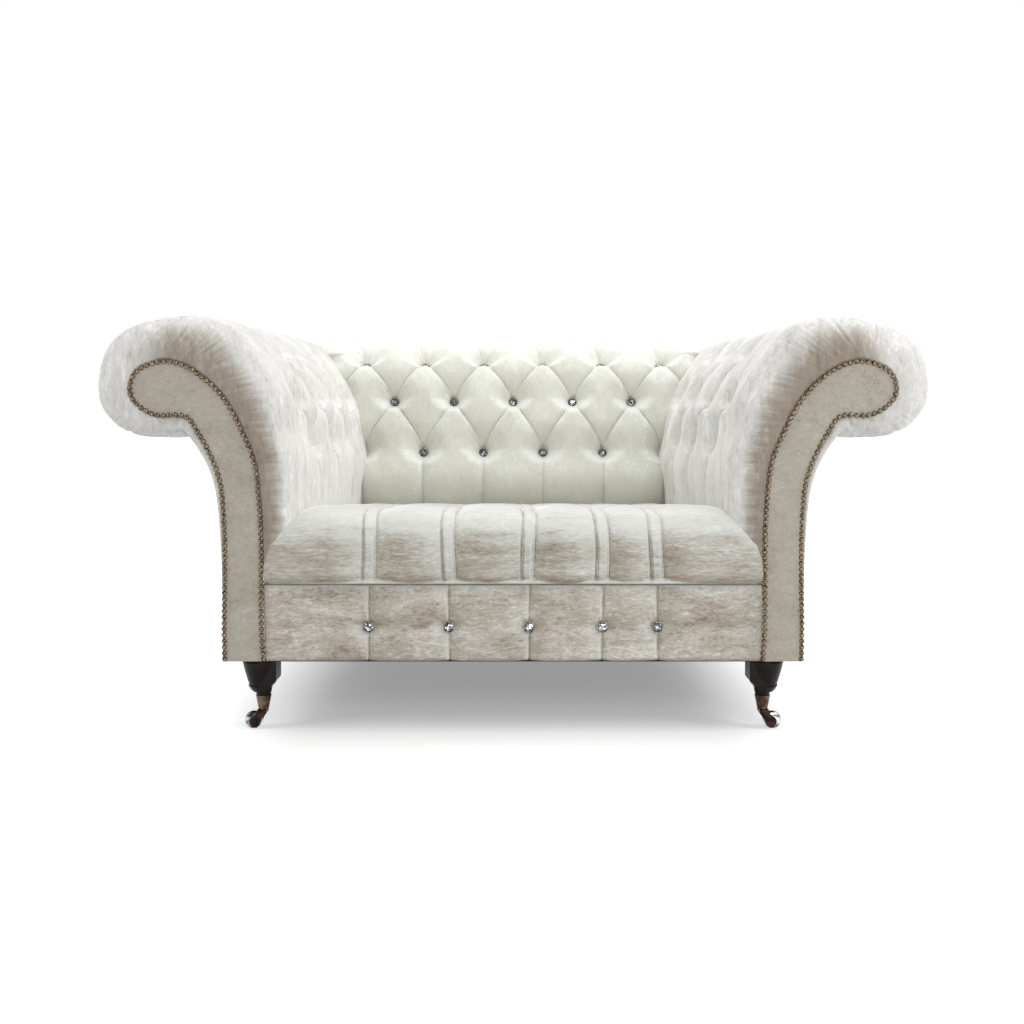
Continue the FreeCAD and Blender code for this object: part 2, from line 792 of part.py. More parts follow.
def base_frame():
    rail = box("front_rail", f"2 * ({INNER})", "[rail_thick]", "[rail_height]",
               (f"-({INNER})", RAIL_FRONT, "[leg_height]"))
    keep(rail, "front_rail")
    side_in = "[seat_width] / 2 + [side_rail_in]"
    rail = box("back_rail", f"2 * ({side_in})", "[rail_thick]", "[rail_height]",
               (f"-({side_in})", BACK_RAIL, "[leg_height]"))
    keep(rail, "back_rail")
    for word, side in SIDES.items():
        start = side_in if side == RIGHT else f"-({side_in}) - [rail_thick]"
        rail = box(f"side_rail_{word}", "[rail_thick]", f"{REAR_BOARD} - ({BOARD_BACK})",
                   "[rail_height]", (start, BOARD_BACK, "[leg_height]"))
        keep(rail, f"side_rail_{word}")
        tack = "[seat_width] / 2 + [arm_tack_in]"
        start = tack if side == RIGHT else f"-({tack}) - [rail_thick]"
        rail = box(f"arm_tack_rail_{word}", "[rail_thick]", f"{REAR_BOARD} - ({BOARD_BACK})",
                   "[tack_rail_tall]", (start, BOARD_BACK, f"{SEAM} + [tack_rail_rise]"))
        keep(rail, f"arm_tack_rail_{word}")
    brace_back = f"{BACK_RAIL} - ({RAIL_FRONT}) - [rail_thick]"
    brace = box("seat_brace", "[brace_thick]", brace_back, "[brace_height]",
                ("-[brace_thick] / 2", f"{RAIL_FRONT} + [rail_thick]", "[leg_height]"))
    keep(brace, "seat_brace")


def corner_blocks():
    wide = "[side_rail_in] + [board_margin]"
    rear_start = f"{BACK_RAIL} + [rail_thick]"
    blocks = []
    for word, side in SIDES.items():
        start = INNER if side == RIGHT else f"-({INNER}) - ({wide})"
        blocks.append(box(f"front_block_{word}", wide, "[block_depth]", "[block_height]",
                          (start, BOARD_BACK, "[leg_height]")))
        blocks.append(box(f"rear_block_{word}", wide, f"{REAR_BOARD} - ({rear_start})",
                          "[block_height]", (start, rear_start, "[leg_height]")))
    keep(cut("corner_blocks_cut", group("corner_block_set", blocks), bolt_holes("block")),
         "corner_blocks")


def foot_place(word):
    """Axis of a front castor as expressions."""
    sign = "-" if SIDES[word] == LEFT else ""
    return f"{sign}([seat_width] / 2 + [foot_out])", f"{FRONT} + [foot_set]"


def rear_place(word):
    sign = "-" if SIDES[word] == LEFT else ""
    return f"{sign}([seat_width] / 2 + [rear_leg_in])", f"{REAR} - [rear_leg_set]"


def bolt_rods(stem, radius):
    rods = []
    for word in SIDES:
        for end, spot in (("front", foot_place(word)), ("rear", rear_place(word))):
            rods.append(rod(f"{stem}_{end}_{word}", radius, "2 * [bolt_grip]",
                            (*spot, "[leg_height] - [bolt_grip]")))
    return rods


def bolt_holes(stem):
    return group(f"{stem}_holes", bolt_rods(f"{stem}_hole", "[bolt_radius] + [bolt_gap]"))


def back_frame():
    front_face = f"{REAR} - [back_support] + [web_thick]"
    post_out = "([seat_width] / 2 - [post_in])"
    posts = []
    for word, side in SIDES.items():
        start = f"{post_out} - [post_thick]" if side == RIGHT else f"-{post_out}"
        posts.append(box(f"post_{word}", "[post_thick]", "[post_thick]",
                         f"[arm_height] - {TOP_RAIL_DROP} - [post_foot]",
                         (start, front_face, "[leg_height] + [post_foot]")))
    keep(group("back_posts", posts), "back_posts")
    reach = f"({post_out} - [post_thick])"
    rail = box("back_tack_rail", f"2 * {reach}", "[post_thick]", "[tack_rail_tall]",
               (f"-{reach}", front_face, f"{SEAM} + [tack_rail_rise]"))
    keep(rail, "back_tack_rail")
    bottom = below_top(size("top_rail_drop"))
    face = rear - size("back_support") + size("web_thick")
    feet = [(face, bottom), (face, below_top(size("strap_drop")))]
    for station in back_stations()[7:13]:
        feet.append((rear - station[0][0], station[0][1]))
    feet.append((feet[-1][0], bottom))
    reach = arm_face(bottom) - size("top_rail_gap")
    points = [Vec(-reach, y, z) for y, z in feet]
    rail = Part.Face(Part.makePolygon(points + points[:1])).extrude(Vec(2 * reach, 0, 0))
    solid("back_top_rail", rail, "back_top_rail")
    straps = []
    for k in range(-2, 3):
        straps.append(box(f"strap_{k + 2}", "[web_wide]", "[web_thick]",
                          f"[arm_height] - {STRAP_DROP} - [border_height] - [tack_rail_rise]"
                          " - [strap_lap]",
                          (f"{k} * [seat_width] / 8 - [web_wide] / 2", f"{REAR} - [back_support]",
                           f"{SEAM} + [tack_rail_rise] + [strap_lap]")))
    keep(group("back_webbing", straps), "back_webbing")


def scroll_rails():
    for word, side in SIDES.items():
        start = "[seat_width] / 2 + [scroll_rail_in]"
        start = start if side == RIGHT else f"-({start}) - [scroll_rail_wide]"
        drop = f"([scroll_rail_drop] + [scroll_rail_tall]) * {HEIGHT_SCALE}"
        rail = box(f"arm_top_rail_{word}", "[scroll_rail_wide]",
                   f"{REAR_BOARD} - ({BOARD_BACK})", f"[scroll_rail_tall] * {HEIGHT_SCALE}",
                   (start, BOARD_BACK, f"[leg_height] + [arm_height] - {drop}"))
        keep(rail, f"arm_top_rail_{word}")


# Springs, platform and covers

SPRING_BENDS = 14


def zigzag(across, start, end, up):
    """Round wire that runs from start to end along Y in flat bends."""
    wire_radius = size("spring_wire") / 2
    half = size("spring_wide") / 2
    step = (end - start) / (SPRING_BENDS + 1)
    bend = step / 2
    side = 1
    y = start
    edges = [Part.LineSegment(Vec(across, y, up), Vec(across + half - bend, y, up)).toShape()]
    for i in range(SPRING_BENDS + 1):
        here = Vec(across + side * (half - bend), y, up)
        there = Vec(across + side * (half - bend), y + step, up)
        tip = Vec(across + side * half, y + bend, up)
        edges.append(Part.Arc(here, tip, there).toShape())
        y += step
        last = i == SPRING_BENDS
        stop = across if last else across - side * (half - bend)
        edges.append(Part.LineSegment(there, Vec(stop, y, up)).toShape())
        side = -side
    path = Part.Wire(edges)
    section = Part.Wire(Part.Circle(Vec(across, start, up), Vec(1, 0, 0), wire_radius).toShape())
    return path.makePipeShell([section], True, False)


def seat_springs():
    wire = size("spring_wire")
    rail_front = facing_front + size("border_set") + size("border_thick")
    back_rail = rear - size("back_support") + size("web_thick") + size("post_thick")
    up = underside + size("rail_height") + wire / 2
    start = rail_front + size("rail_thick") / 2
    end = back_rail + size("rail_thick") / 2
    first = zigzag(0, start, end, up)
    springs = []
    clips = []
    clip = size("clip_wide")
    thick = size("platform_thick") / 3
    reach = half_seat - size("spring_inset")
    for k in range(-3, 4):
        across = k * reach / 3
        copy = first.copy()
        copy.translate(Vec(across, 0, 0))
        springs.append(copy)
        for y in (start, end):
            corner = Vec(across - clip / 2, y - clip / 4, up + wire / 2)
            clips.append(Part.makeBox(clip, clip / 2, thick, corner))
    solid("seat_springs", Part.makeCompound(springs), "seat_springs")
    solid("spring_clips", Part.makeCompound(clips), "spring_clips")


def platform():
    start = f"{RAIL_FRONT}"
    deep = f"{REAR} - [back_support] + [web_thick] - ({RAIL_FRONT}) - [soft_gap]"
    sheet_box = box("seat_platform", f"2 * ({INNER})", deep, "[platform_thick]",
                    (f"-({INNER})", f"{start}", f"{SEAM} - [platform_thick]"))
    keep(sheet_box, "seat_platform")


def covers():
    reach = "[seat_width] / 2 + [cover_reach]"
    cloth = box("dust_cloth", f"2 * ({reach})",
                "[overall_depth] - [rear_set] - 2 * [cover_inset]", "[cover_thick]",
                (f"-({reach})", f"{FRONT} + [cover_inset]", "[leg_height] - [cover_thick]"))
    keep(cut("dust_cover_cut", cloth, bolt_holes("cover")), "dust_cover")
    panel = box("outside_back", f"2 * ({INNER} - [soft_gap])", "[lining_thick]",
                f"[arm_height] - {TOP_RAIL_DROP} - [soft_gap]",
                (f"-({INNER} - [soft_gap])", f"{REAR} - [rear_set]", "[leg_height]"))
    keep(panel, "outside_back")


# Legs

def turned(name, profile, curved=()):
    """Body turned about its Z axis: profile points are radius and height from the body's origin."""
    body = doc.addObject("PartDesign::Body", name)
    add_turning(body, name, profile, curved)
    return body


def plane_of(body, role):
    return next(f for f in body.Origin.OriginFeatures if f.Role == role)


def add_turning(body, name, profile, curved=(), offset=0.0):
    sketch = body.newObject("Sketcher::SketchObject", f"{name}_profile")
    sketch.AttachmentSupport = [(plane_of(body, "XZ_Plane"), "")]
    sketch.MapMode = "FlatFace"
    points = [Vec(x, z, 0) for x, z in profile]
    for i, a in enumerate(points):
        b = points[(i + 1) % len(points)]
        if i in dict(curved):
            bulge = dict(curved)[i]
            chord = b - a
            normal = Vec(chord.y, -chord.x, 0).normalize()
            sketch.addGeometry(Part.Arc(a, (a + b) / 2 + normal * bulge, b), False)
        else:
            sketch.addGeometry(Part.LineSegment(a, b), False)
    if offset:
        sketch.AttachmentOffset = FreeCAD.Placement(Vec(offset, 0, 0), FreeCAD.Rotation())
    turning = body.newObject("PartDesign::Revolution", f"{name}_turned")
    turning.Profile = sketch
    turning.ReferenceAxis = (sketch, ["V_Axis"])
    turning.Angle = 360
    doc.recompute()
    return turning


def front_leg(word, side):
    """Bulb turned a little outside the castor's axis, square shoulder and neck."""
    top = size("leg_height") - size("cover_thick")
    bulb = size("bulb_radius")
    ring = size("ring_radius")
    neck = size("neck_radius")
    cup = size("cup_top")
    peg = neck - size("cup_wall") - 0.8
    foot = size("cup_foot_radius") - size("cup_wall")
    peg_end = size("cup_bottom") + 8
    name = f"turned_leg_{word}"
    body = doc.addObject("PartDesign::Body", name)
    bulb_profile = [
        (0, top), (bulb - 0.5, top), (bulb, top - 10), (bulb - 4.5, top - 41),
        (ring + 0.5, top - 60), (ring, top - 65), (neck + 1, cup + 2.5), (0, cup + 2.5),
    ]
    shift = side * size("bulb_shift")
    add_turning(body, f"{name}_bulb", bulb_profile, ((2, 2.0), (3, 2.5), (5, 1.2)), shift)
    neck_profile = [
        (0, top - 30), (18.5, top - 50), (17, top - 64), (neck, cup), (peg, cup),
        (foot - 0.5, peg_end), (0, peg_end),
    ]
    add_turning(body, f"{name}_neck", neck_profile)
    inward = -side
    edge = side * size("bulb_shift") + inward * size("bulb_radius")
    wide = size("shoulder_wide")
    sketch = body.newObject("Sketcher::SketchObject", f"{name}_shoulder_outline")
    sketch.AttachmentSupport = [(plane_of(body, "XY_Plane"), "")]
    sketch.MapMode = "FlatFace"
    sketch.AttachmentOffset = FreeCAD.Placement(Vec(0, 0, top), FreeCAD.Rotation())
    corners = [(0, -wide / 2), (edge, -wide / 2), (edge, wide / 2), (0, wide / 2)]
    for i, (x, y) in enumerate(corners):
        next_x, next_y = corners[(i + 1) % 4]
        sketch.addGeometry(Part.LineSegment(Vec(x, y, 0), Vec(next_x, next_y, 0)), False)
    pad = body.newObject("PartDesign::Pad", f"{name}_shoulder")
    pad.Profile = sketch
    pad.setExpression("Length", bound("[shoulder_tall]"))
    pad.Reversed = True
    doc.recompute()
    across, along = foot_place(word)
    place(body, across, along)
    hole = rod(f"{name}_bolt_hole", "[bolt_radius] + [bolt_gap]", "2 * [bolt_grip]",
               (across, along, "[leg_height] - [bolt_grip]"))
    keep(cut(f"{name}_drilled", body, hole), f"front_leg_{word}")


def castor(word, side):
    axis = foot_place(word)
    top = size("cup_top")
    bottom = size("cup_bottom")
    outer = size("neck_radius") + 0.6
    wall = size("cup_wall")
    foot = size("cup_foot_radius")
    bore = size("pintle_radius") + size("running_gap")
    floor = bottom + 8 - 0.3
    cup = turned(f"cup_{word}", [
        (bore, bottom), (foot, bottom), (foot + 0.7, bottom + 3), (outer - 0.6, top - 5),
        (outer, top - 3), (outer, top), (outer - wall, top), (foot - wall + 0.3, floor),
        (foot - wall + 0.3, bottom + 5), (bore, bottom + 5),
    ])
    place(cup, *axis)
    keep(cup, f"castor_cup_{word}")

    axle_x = f"{axis[0]} + {side} * [wheel_trail]"
    crown = bottom - size("swivel_gap")
    outline = [
        (-8.5, crown), (-8.5, 35.5), (-6, 31), (1, 23), (6, 9), (13, 3.5), (21, 4.5), (27, 11),
        (28, 19), (24.5, 25), (17.5, 29), (12, crown - 4), (12, crown),
    ]
    y = front + size("foot_set")
    middle = half_seat + size("foot_out")
    points = [Vec(side * (middle + x), y, z) for x, z in outline]
    cheek_face = doc.addObject("Part::Feature", f"fork_outline_{word}")
    cheek_face.Shape = Part.Face(Part.makePolygon(points + points[:1]))
    cheeks = doc.addObject("Part::Extrusion", f"fork_cheeks_{word}")
    cheeks.Base = cheek_face
    cheeks.DirMode = "Custom"
    cheeks.Dir = Vec(0, 1, 0)
    bind(cheeks, LengthFwd="[wheel_wide] + 2 * [wheel_gap] + 2 * [cheek_thick]")
    cheeks.Solid = True
    cheeks.Symmetric = True
    lying = FreeCAD.Rotation(Vec(1, 0, 0), -90)
    room = rod(f"wheel_room_{word}", "[wheel_radius] + 1.5", "[wheel_wide] + 2 * [wheel_gap]",
               (axle_x, f"{axis[1]} - [wheel_wide] / 2 - [wheel_gap]", "[wheel_radius]"), lying)
    length = "[wheel_wide] + 2 * [wheel_gap] + 2 * [cheek_thick]"
    axle_start = f"{axis[1]} - ({length}) / 2"
    axle_hole = rod(f"fork_axle_hole_{word}", "[axle_radius]", length,
                    (axle_x, axle_start, "[wheel_radius]"), lying)
    pin_hole = rod(f"fork_pin_hole_{word}", "[pintle_radius]", "20", (*axis, "30"))
    tools = group(f"fork_holes_{word}", [room, axle_hole, pin_hole])
    keep(cut(f"fork_{word}", cheeks, tools), f"castor_fork_{word}")

    shaft = rod(f"axle_shaft_{word}", "[axle_radius]", f"{length} + 0.02",
                (axle_x, axle_start, "[wheel_radius]"), lying)
    heads = []
    for end, start in (("front", f"{axle_start} - 1.2"), ("rear", f"{axle_start} + {length}")):
        heads.append(rod(f"axle_head_{end}_{word}", "[axle_radius] + 1.2", "1.2",
                         (axle_x, start, "[wheel_radius]"), lying))
    axle = doc.addObject("Part::MultiFuse", f"axle_{word}")
    axle.Shapes = [shaft] + heads
    keep(axle, f"castor_axle_{word}")

    pin_low = f"{crown - 4.6}"
    shank = rod(f"pin_shank_{word}", "[pintle_radius]", f"{bottom + 5.2 - (crown - 4.6)}",
                (*axis, pin_low))
    head = rod(f"pin_head_{word}", "[pintle_radius] + 1.6", "1.6", (*axis, f"{bottom + 5.2}"))
    pin = doc.addObject("Part::MultiFuse", f"pin_{word}")
    pin.Shapes = [shank, head]
    keep(pin, f"castor_pintle_{word}")

    radius = size("wheel_radius")
    half = size("wheel_wide") / 2
    hub = size("axle_radius") + size("running_gap")
    wheel = turned(f"wheel_{word}", [
        (hub, -half), (7, -half), (radius - 4.5, -half + 1.6), (radius - 1.2, -half + 5),
        (radius - 1.2, half - 5), (radius - 4.5, half - 1.6), (7, half), (hub, half),
    ], ((1, 0.3), (2, 0.9), (3, 1.2), (4, 0.9), (5, 0.3)))
    wheel.Placement.Rotation = lying
    place(wheel, axle_x, axis[1], "[wheel_radius]")
    keep(wheel, f"castor_wheel_{word}")


def rear_leg(word):
    across, along = rear_place(word)
    name = f"rear_leg_{word}"
    cone = doc.addObject("Part::Cone", f"{name}_taper")
    bind(cone, Radius1="[rear_leg_foot]", Radius2="[rear_leg_top]",
         Height="[leg_height] - [cover_thick] - [glide_tall]")
    place(cone, across, along, "[glide_tall]")
    hole = rod(f"{name}_bolt_hole", "[bolt_radius] + [bolt_gap]", "2 * [bolt_grip]",
               (across, along, "[leg_height] - [bolt_grip]"))
    keep(cut(f"{name}_drilled", cone, hole), name)


def legs():
    glides = []
    for word, side in SIDES.items():
        front_leg(word, side)
        castor(word, side)
        rear_leg(word)
        glides.append(rod(f"glide_{word}", "[glide_radius]", "[glide_tall]",
                          (*rear_place(word), "0")))
    keep(group("rear_glides", glides), "rear_glides")
    keep(group("leg_bolts", bolt_rods("leg_bolt", "[bolt_radius]")), "leg_bolts")


def arms():
    for word, side in SIDES.items():
        thick = size("facing_thick")
        board = size("board_thick")
        scroll_board(side, f"arm_facing_{word}", facing_front, thick, FACING_GROW)
        scroll_board(side, f"arm_front_board_{word}", facing_back, board, FACING_GROW - 1)
        scroll_board(side, f"arm_rear_board_{word}", rear_board, board, FACING_GROW - 1)
        lining = size("lining_thick")
        scroll_board(side, f"rear_facing_{word}", board_end, lining, FACING_GROW)
        studs(side, f"facing_studs_{word}")
        arm_former(side, f"arm_former_{word}")
        arm_pad(side, f"arm_pad_{word}")
        outside_arm(side, f"outside_arm_{word}")


def check():
    doc.recompute()
    for thing in doc.Objects:
        bad = [word for word in thing.State if word in ("Invalid", "Error")]
        if bad:
            raise RuntimeError(f"{thing.Name}: {bad}")
    labels = [thing.Label for thing in SUB_PARTS]
    if len(set(labels)) != len(labels):
        raise RuntimeError("two sub-parts share a label")
    for thing in SUB_PARTS:
        if thing.Shape.isNull() or not thing.Shape.isValid():
            raise RuntimeError(f"{thing.Label}: shape is not valid")


def export():
    os.makedirs("parts", exist_ok=True)
    for thing in SUB_PARTS:
        thing.Shape.exportStep(f"parts/{thing.Label}.step")


base_frame()
corner_blocks()
back_frame()
scroll_rails()
arms()
back_pad()
seat_pad()
border_pad()
button_nodes("back", back_button_spots())
button_nodes("border", border_button_spots())
seat_springs()
platform()
covers()
legs()
check()
export()
print(len(SUB_PARTS), "sub-parts")
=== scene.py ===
import math

import bmesh
import bpy
import numpy as np
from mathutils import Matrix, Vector
from mathutils.geometry import tessellate_polygon


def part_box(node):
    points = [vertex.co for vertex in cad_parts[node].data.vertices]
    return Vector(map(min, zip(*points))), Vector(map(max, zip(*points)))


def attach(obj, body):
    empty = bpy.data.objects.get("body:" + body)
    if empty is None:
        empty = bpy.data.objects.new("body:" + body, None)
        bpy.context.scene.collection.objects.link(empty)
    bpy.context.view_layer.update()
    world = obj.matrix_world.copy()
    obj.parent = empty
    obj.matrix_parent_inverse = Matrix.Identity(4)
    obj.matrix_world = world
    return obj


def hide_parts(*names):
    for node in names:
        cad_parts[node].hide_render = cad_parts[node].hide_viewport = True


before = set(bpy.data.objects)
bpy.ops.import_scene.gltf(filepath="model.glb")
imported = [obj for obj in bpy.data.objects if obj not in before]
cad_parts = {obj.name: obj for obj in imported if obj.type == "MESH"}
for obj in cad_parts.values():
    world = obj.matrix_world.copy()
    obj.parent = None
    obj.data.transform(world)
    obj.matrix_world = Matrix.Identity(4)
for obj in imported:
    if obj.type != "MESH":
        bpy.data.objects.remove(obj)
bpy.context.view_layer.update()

# Sizes of the sofa, in metres, as in the CAD source

HALF_SEAT = 0.520
UNDERSIDE = 0.150
SEAM = 0.312
CREST = 0.466
ARM_TOP = 0.870
FRONT = -0.450
REAR = 0.450
FACING_FRONT = -0.4445
BOARD_END = 0.420
BACK_FACE = 0.190
ARM_FRONT = -0.4444
ARM_ROLL = 0.070
ARM_FULL = ARM_FRONT + ARM_ROLL
REAR_ROUND = 0.026
ARM_FOOT_TOP = 0.475
FRONT_HALF = 0.457
BACK_HALF = 0.403
ROLL_HALF = 0.560
TUFT_DEPTH = 0.044
BUTTON_LIFT = 0.0045
BORDER_FACE = FACING_FRONT + 0.0025
BORDER_BUTTON_Z = 0.221
# Half widths within which the covers' columns aren't shifted to meet the arms
BACK_KEEP = 0.34
SEAT_KEEP = 0.330
BORDER_KEEP = 0.48
PLEATS = [-0.3021, -0.1342, 0.0338, 0.1872, 0.3021]
SIDES = {"left": -1, "right": 1}
BODY = "sofa"

# Points of the scroll: distance outside the seat's edge and height in mm, above the underside or
# below the arm's top
SCROLL = [
    (0, "above", 0), (5, "above", 209), (13, "below", 350), (24, "below", 291),
    (45, "below", 242), (65, "below", 201), (92, "below", 161), (128, "below", 127),
    (164, "below", 104), (200, "below", 94), (232, "below", 98), (263, "below", 113),
    (279, "below", 147), (272, "below", 174), (245, "below", 197), (214, "below", 207),
    (182, "below", 205), (160, "below", 210), (142, "below", 233), (124, "below", 264),
    (106, "below", 301), (92, "below", 341), (85, "below", 395), (81, "above", 217),
    (81, "above", 0),
]
# Tops of the arm's padding at the rear from the scroll's third point on: distance outside the
# seat's edge and below the arm's top, and thickness at the front where it is less, in mm
ARM_STATIONS = [
    ((-124, 344), 68), ((-115, 280), 76), ((-111, 232), 88), ((-93, 172), 105),
    ((-65, 122), 112), ((-20, 58), 118), ((60, 8), 118), ((140, 0), None), ((245, 15), None),
    ((318, 50), None), ((346.5, 130), None), ((331, 200), None), ((290, 236), None),
    ((222, 243), None), ((170, 241), None),
]
SCROLL_START = 2
PAD_GROW = 0.0075


# Curves and random fields

def spline_basis(knots, at):
    """Weights that turn values at the knots into a smooth cubic curve through them."""
    n = len(knots)
    h = np.diff(knots)
    a = np.zeros((n, n))
    r = np.zeros((n, n))
    a[0, 0] = a[-1, -1] = 1
    for i in range(1, n - 1):
        a[i, i - 1:i + 2] = h[i - 1], 2 * (h[i - 1] + h[i]), h[i]
        r[i, i - 1:i + 2] = 6 / h[i - 1], -6 / h[i - 1] - 6 / h[i], 6 / h[i]
    second = np.linalg.solve(a, r)
    k = np.clip(np.searchsorted(knots, at, side="right") - 1, 0, n - 2)
    u = (at - knots[k])[:, None]
    w = (knots[k + 1] - at)[:, None]
    span = h[k][:, None]
    eye = np.eye(n)
    return (
        w / span * eye[k] + u / span * eye[k + 1]
        + (w**3 / span - w * span) / 6 * second[k]
        + (u**3 / span - u * span) / 6 * second[k + 1]
    )


def chords(points):
    """Distance run at each point of a line."""
    steps = np.linalg.norm(np.diff(np.asarray(points, float), axis=0), axis=1)
    return np.concatenate([[0.0], np.cumsum(steps)])


def smooth_path(points, step):
    """Points about a step apart along the smooth curve through the given points."""
    points = np.asarray(points, float)
    knots = chords(points)
    count = int(knots[-1] / step) + 2
    dense = spline_basis(knots, np.linspace(0, knots[-1], count)) @ points
    run = chords(dense)
    even = np.linspace(0, run[-1], count)
    return np.stack([np.interp(even, run, column) for column in dense.T], axis=1)


def with_normals(line):
    """The line, and the direction square to it at each point."""
    run = np.gradient(line, axis=0)
    run /= np.linalg.norm(run, axis=1)[:, None]
    return line, np.stack([-run[:, 1], run[:, 0]], axis=1)


def waves(points, length, seed, count=20):
    """Smooth random field of about unit size at the points, from plane waves of one length."""
    draw = np.random.default_rng(seed)
    turn = draw.normal(size=(count, 3))
    turn /= np.linalg.norm(turn, axis=1)[:, None]
    phase = draw.uniform(0, 2 * math.pi, count)
    total = np.zeros(points.shape[:-1])
    for direction, start in zip(turn, phase):
        total += np.cos(points @ direction * (2 * math.pi / length) + start)
    return total * math.sqrt(2 / count)


def smooth(t):
    t = np.clip(t, 0, 1)
    return t * t * (3 - 2 * t)


def rounded(t):
    """Quarter circle, from 0 at an edge to 1 where its rounding ends."""
    return np.sqrt(1 - (1 - np.clip(t, 0, 1)) ** 2)


def rounded_run(start, end, first, last, counts):
    """Places from start to end, closer together in the rounded edges of widths first and last."""
    return np.concatenate([
        start + first * (1 - np.cos(np.linspace(0, math.pi / 2, counts[0]))),
        np.linspace(start + first, end - last, counts[1])[1:-1],
        end - last + last * np.sin(np.linspace(0, math.pi / 2, counts[2])),
    ])


def squeezed(u, keep, full, limit):
    """Places across: u itself within keep, and beyond it shifted so that full lies at limit."""
    excess = np.clip((np.abs(u) - keep) / (full - keep), 0, 1)
    return np.sign(u) * (np.minimum(np.abs(u), keep) + excess * (limit - keep))


def grid(x, y, z):
    """Points from coordinates that broadcast to one grid or one row."""
    return np.stack(np.broadcast_arrays(x, y, z), axis=-1)


def rays(feet, outer, weights):
    """Reach from each foot to its outer point, then every row's foot and unit direction."""
    reach = np.linalg.norm(outer - feet, axis=1)
    turn_at = weights @ ((outer - feet) / reach[:, None])
    turn_at /= np.linalg.norm(turn_at, axis=1)[:, None]
    return reach, weights @ feet, turn_at


def along_rays(foot, turn, height):
    """Both coordinates of the points at a height (rows, columns) along every row's ray."""
    return [foot[:, None, i] + turn[:, None, i] * height for i in (0, 1)]


# Meshes

def make_object(name, verts, faces, material, node, flat=False):
    """Object with outward faces that rides on the sofa and stands for a CAD node."""
    mesh = bpy.data.meshes.new(name)
    mesh.from_pydata([tuple(map(float, v)) for v in verts], [], faces)
    mesh.validate()
    mesh.update()
    thing = bpy.data.objects.new(name, mesh)
    bpy.context.scene.collection.objects.link(thing)
    mesh.materials.append(material)
    if not flat:
        mesh.polygons.foreach_set("use_smooth", [True] * len(mesh.polygons))
    work = bmesh.new()
    work.from_mesh(mesh)
    bmesh.ops.recalc_face_normals(work, faces=work.faces)
    work.to_mesh(mesh)
    work.free()
    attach(thing, BODY)
    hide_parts(node)
    return thing


def ring_faces(rings, count, start=0):
    """Faces between closed rings of count points each."""
    faces = []
    for a in range(start, start + (rings - 1) * count, count):
        for j in range(count):
            k = (j + 1) % count
            faces.append((a + j, a + count + j, a + count + k, a + k))
    return faces


def end_faces(rings, count, start=0):
    """Flat faces that close the first and the last ring."""
    last = start + (rings - 1) * count
    return [tuple(range(start, start + count)), tuple(range(last, last + count))[::-1]]


def closed_pad(name, outer, inner_first, inner_last, material, node, fill):
    """Closed pad from an outer grid (rows, cols, 3) and the inner line behind its first and last
    column, one point to a row."""
    rows, cols, _ = outer.shape
    verts = np.concatenate([outer.reshape(-1, 3), inner_first, inner_last])
    first = rows * cols
    last = first + rows
    faces = [(a, a + cols, a + cols + 1, a + 1)
             for i in range(rows - 1) for a in range(i * cols, i * cols + cols - 1)]
    for i in range(rows - 1):
        faces.append((i * cols, first + i, first + i + 1, (i + 1) * cols))
        faces.append(((i + 1) * cols - 1, (i + 2) * cols - 1, last + i + 1, last + i))
        faces.append((first + i, last + i, last + i + 1, first + i + 1))
    faces.append((first, *range(cols), last))
    faces.append((last + rows - 1, *range(first - 1, first - cols - 1, -1), first + rows - 1))
    return make_object(name, verts, faces, material, node)


def mirrored(points, side):
    return points * (side, 1, 1)


# Tufting: pits at the buttons, creases between them, fine pleats that fan out above a button.
# A button is (u, v, scale, lean), and lean is how much farther its pit reaches up than down.

LEAN = 0.42


def arc_crease(upper, lower, steps=7):
    """Crease from an upper button, first sideways and then down into the lower one."""
    q = np.linspace(0, 1, steps)
    side = np.sin(q * math.pi / 2) * 0.75 + q * 0.25
    u = upper[0] + (lower[0] - upper[0]) * side
    v = upper[1] + (lower[1] - upper[1]) * q
    return np.stack([u, v], axis=1)


def straight_crease(start, end, weights):
    """Crease between two places, with weights at even steps, as (points, weights)."""
    return np.linspace(start, end, len(weights)), np.array(weights)


def line_distance(u, v, line, weights):
    """Distance from each point to a polyline, and the line's weight at the nearest place."""
    best = np.full(u.shape, 1e9)
    weight = np.zeros(u.shape)
    for (a, b), (wa, wb) in zip(zip(line, line[1:]), zip(weights, weights[1:])):
        du, dv = b - a
        t = ((u - a[0]) * du + (v - a[1]) * dv) / (du * du + dv * dv)
        t = np.clip(t, 0, 1)
        distance = np.hypot(u - a[0] - t * du, v - a[1] - t * dv)
        near = distance < best
        best = np.where(near, distance, best)
        weight = np.where(near, wa + (wb - wa) * t, weight)
    return best, weight


def crease_depth(u, v, lines, wide, deep, cut_wide=0.003, cut_deep=0.003):
    """Depth of grooves along lines of (points, weights): rounded puffs meet in a narrow cut."""
    total = np.zeros(u.shape)
    for line, weights in lines:
        distance, weight = line_distance(u, v, line, weights)
        valley = (1 - rounded(distance / wide)) * deep
        cut = np.exp(-(distance / cut_wide) ** 2) * cut_deep
        total = np.maximum(total, (valley + cut) * weight)
    return total


def pit_depth(u, v, buttons, deep, floor, reach):
    """Funnels at the buttons, long above each button and steep below it."""
    total = np.zeros(u.shape)
    for cu, cv, scale, lean in buttons:
        r = np.hypot(u - cu, v - cv)
        up = (v - cv) / np.maximum(r, 1e-6)
        t = np.clip((r - floor) / (reach * (1 + lean * up) - floor), 0, 1)
        total = np.maximum(total, (1 - t) ** (2.2 - 2.4 * np.minimum(up, 0.2)) * deep * scale)
    return total


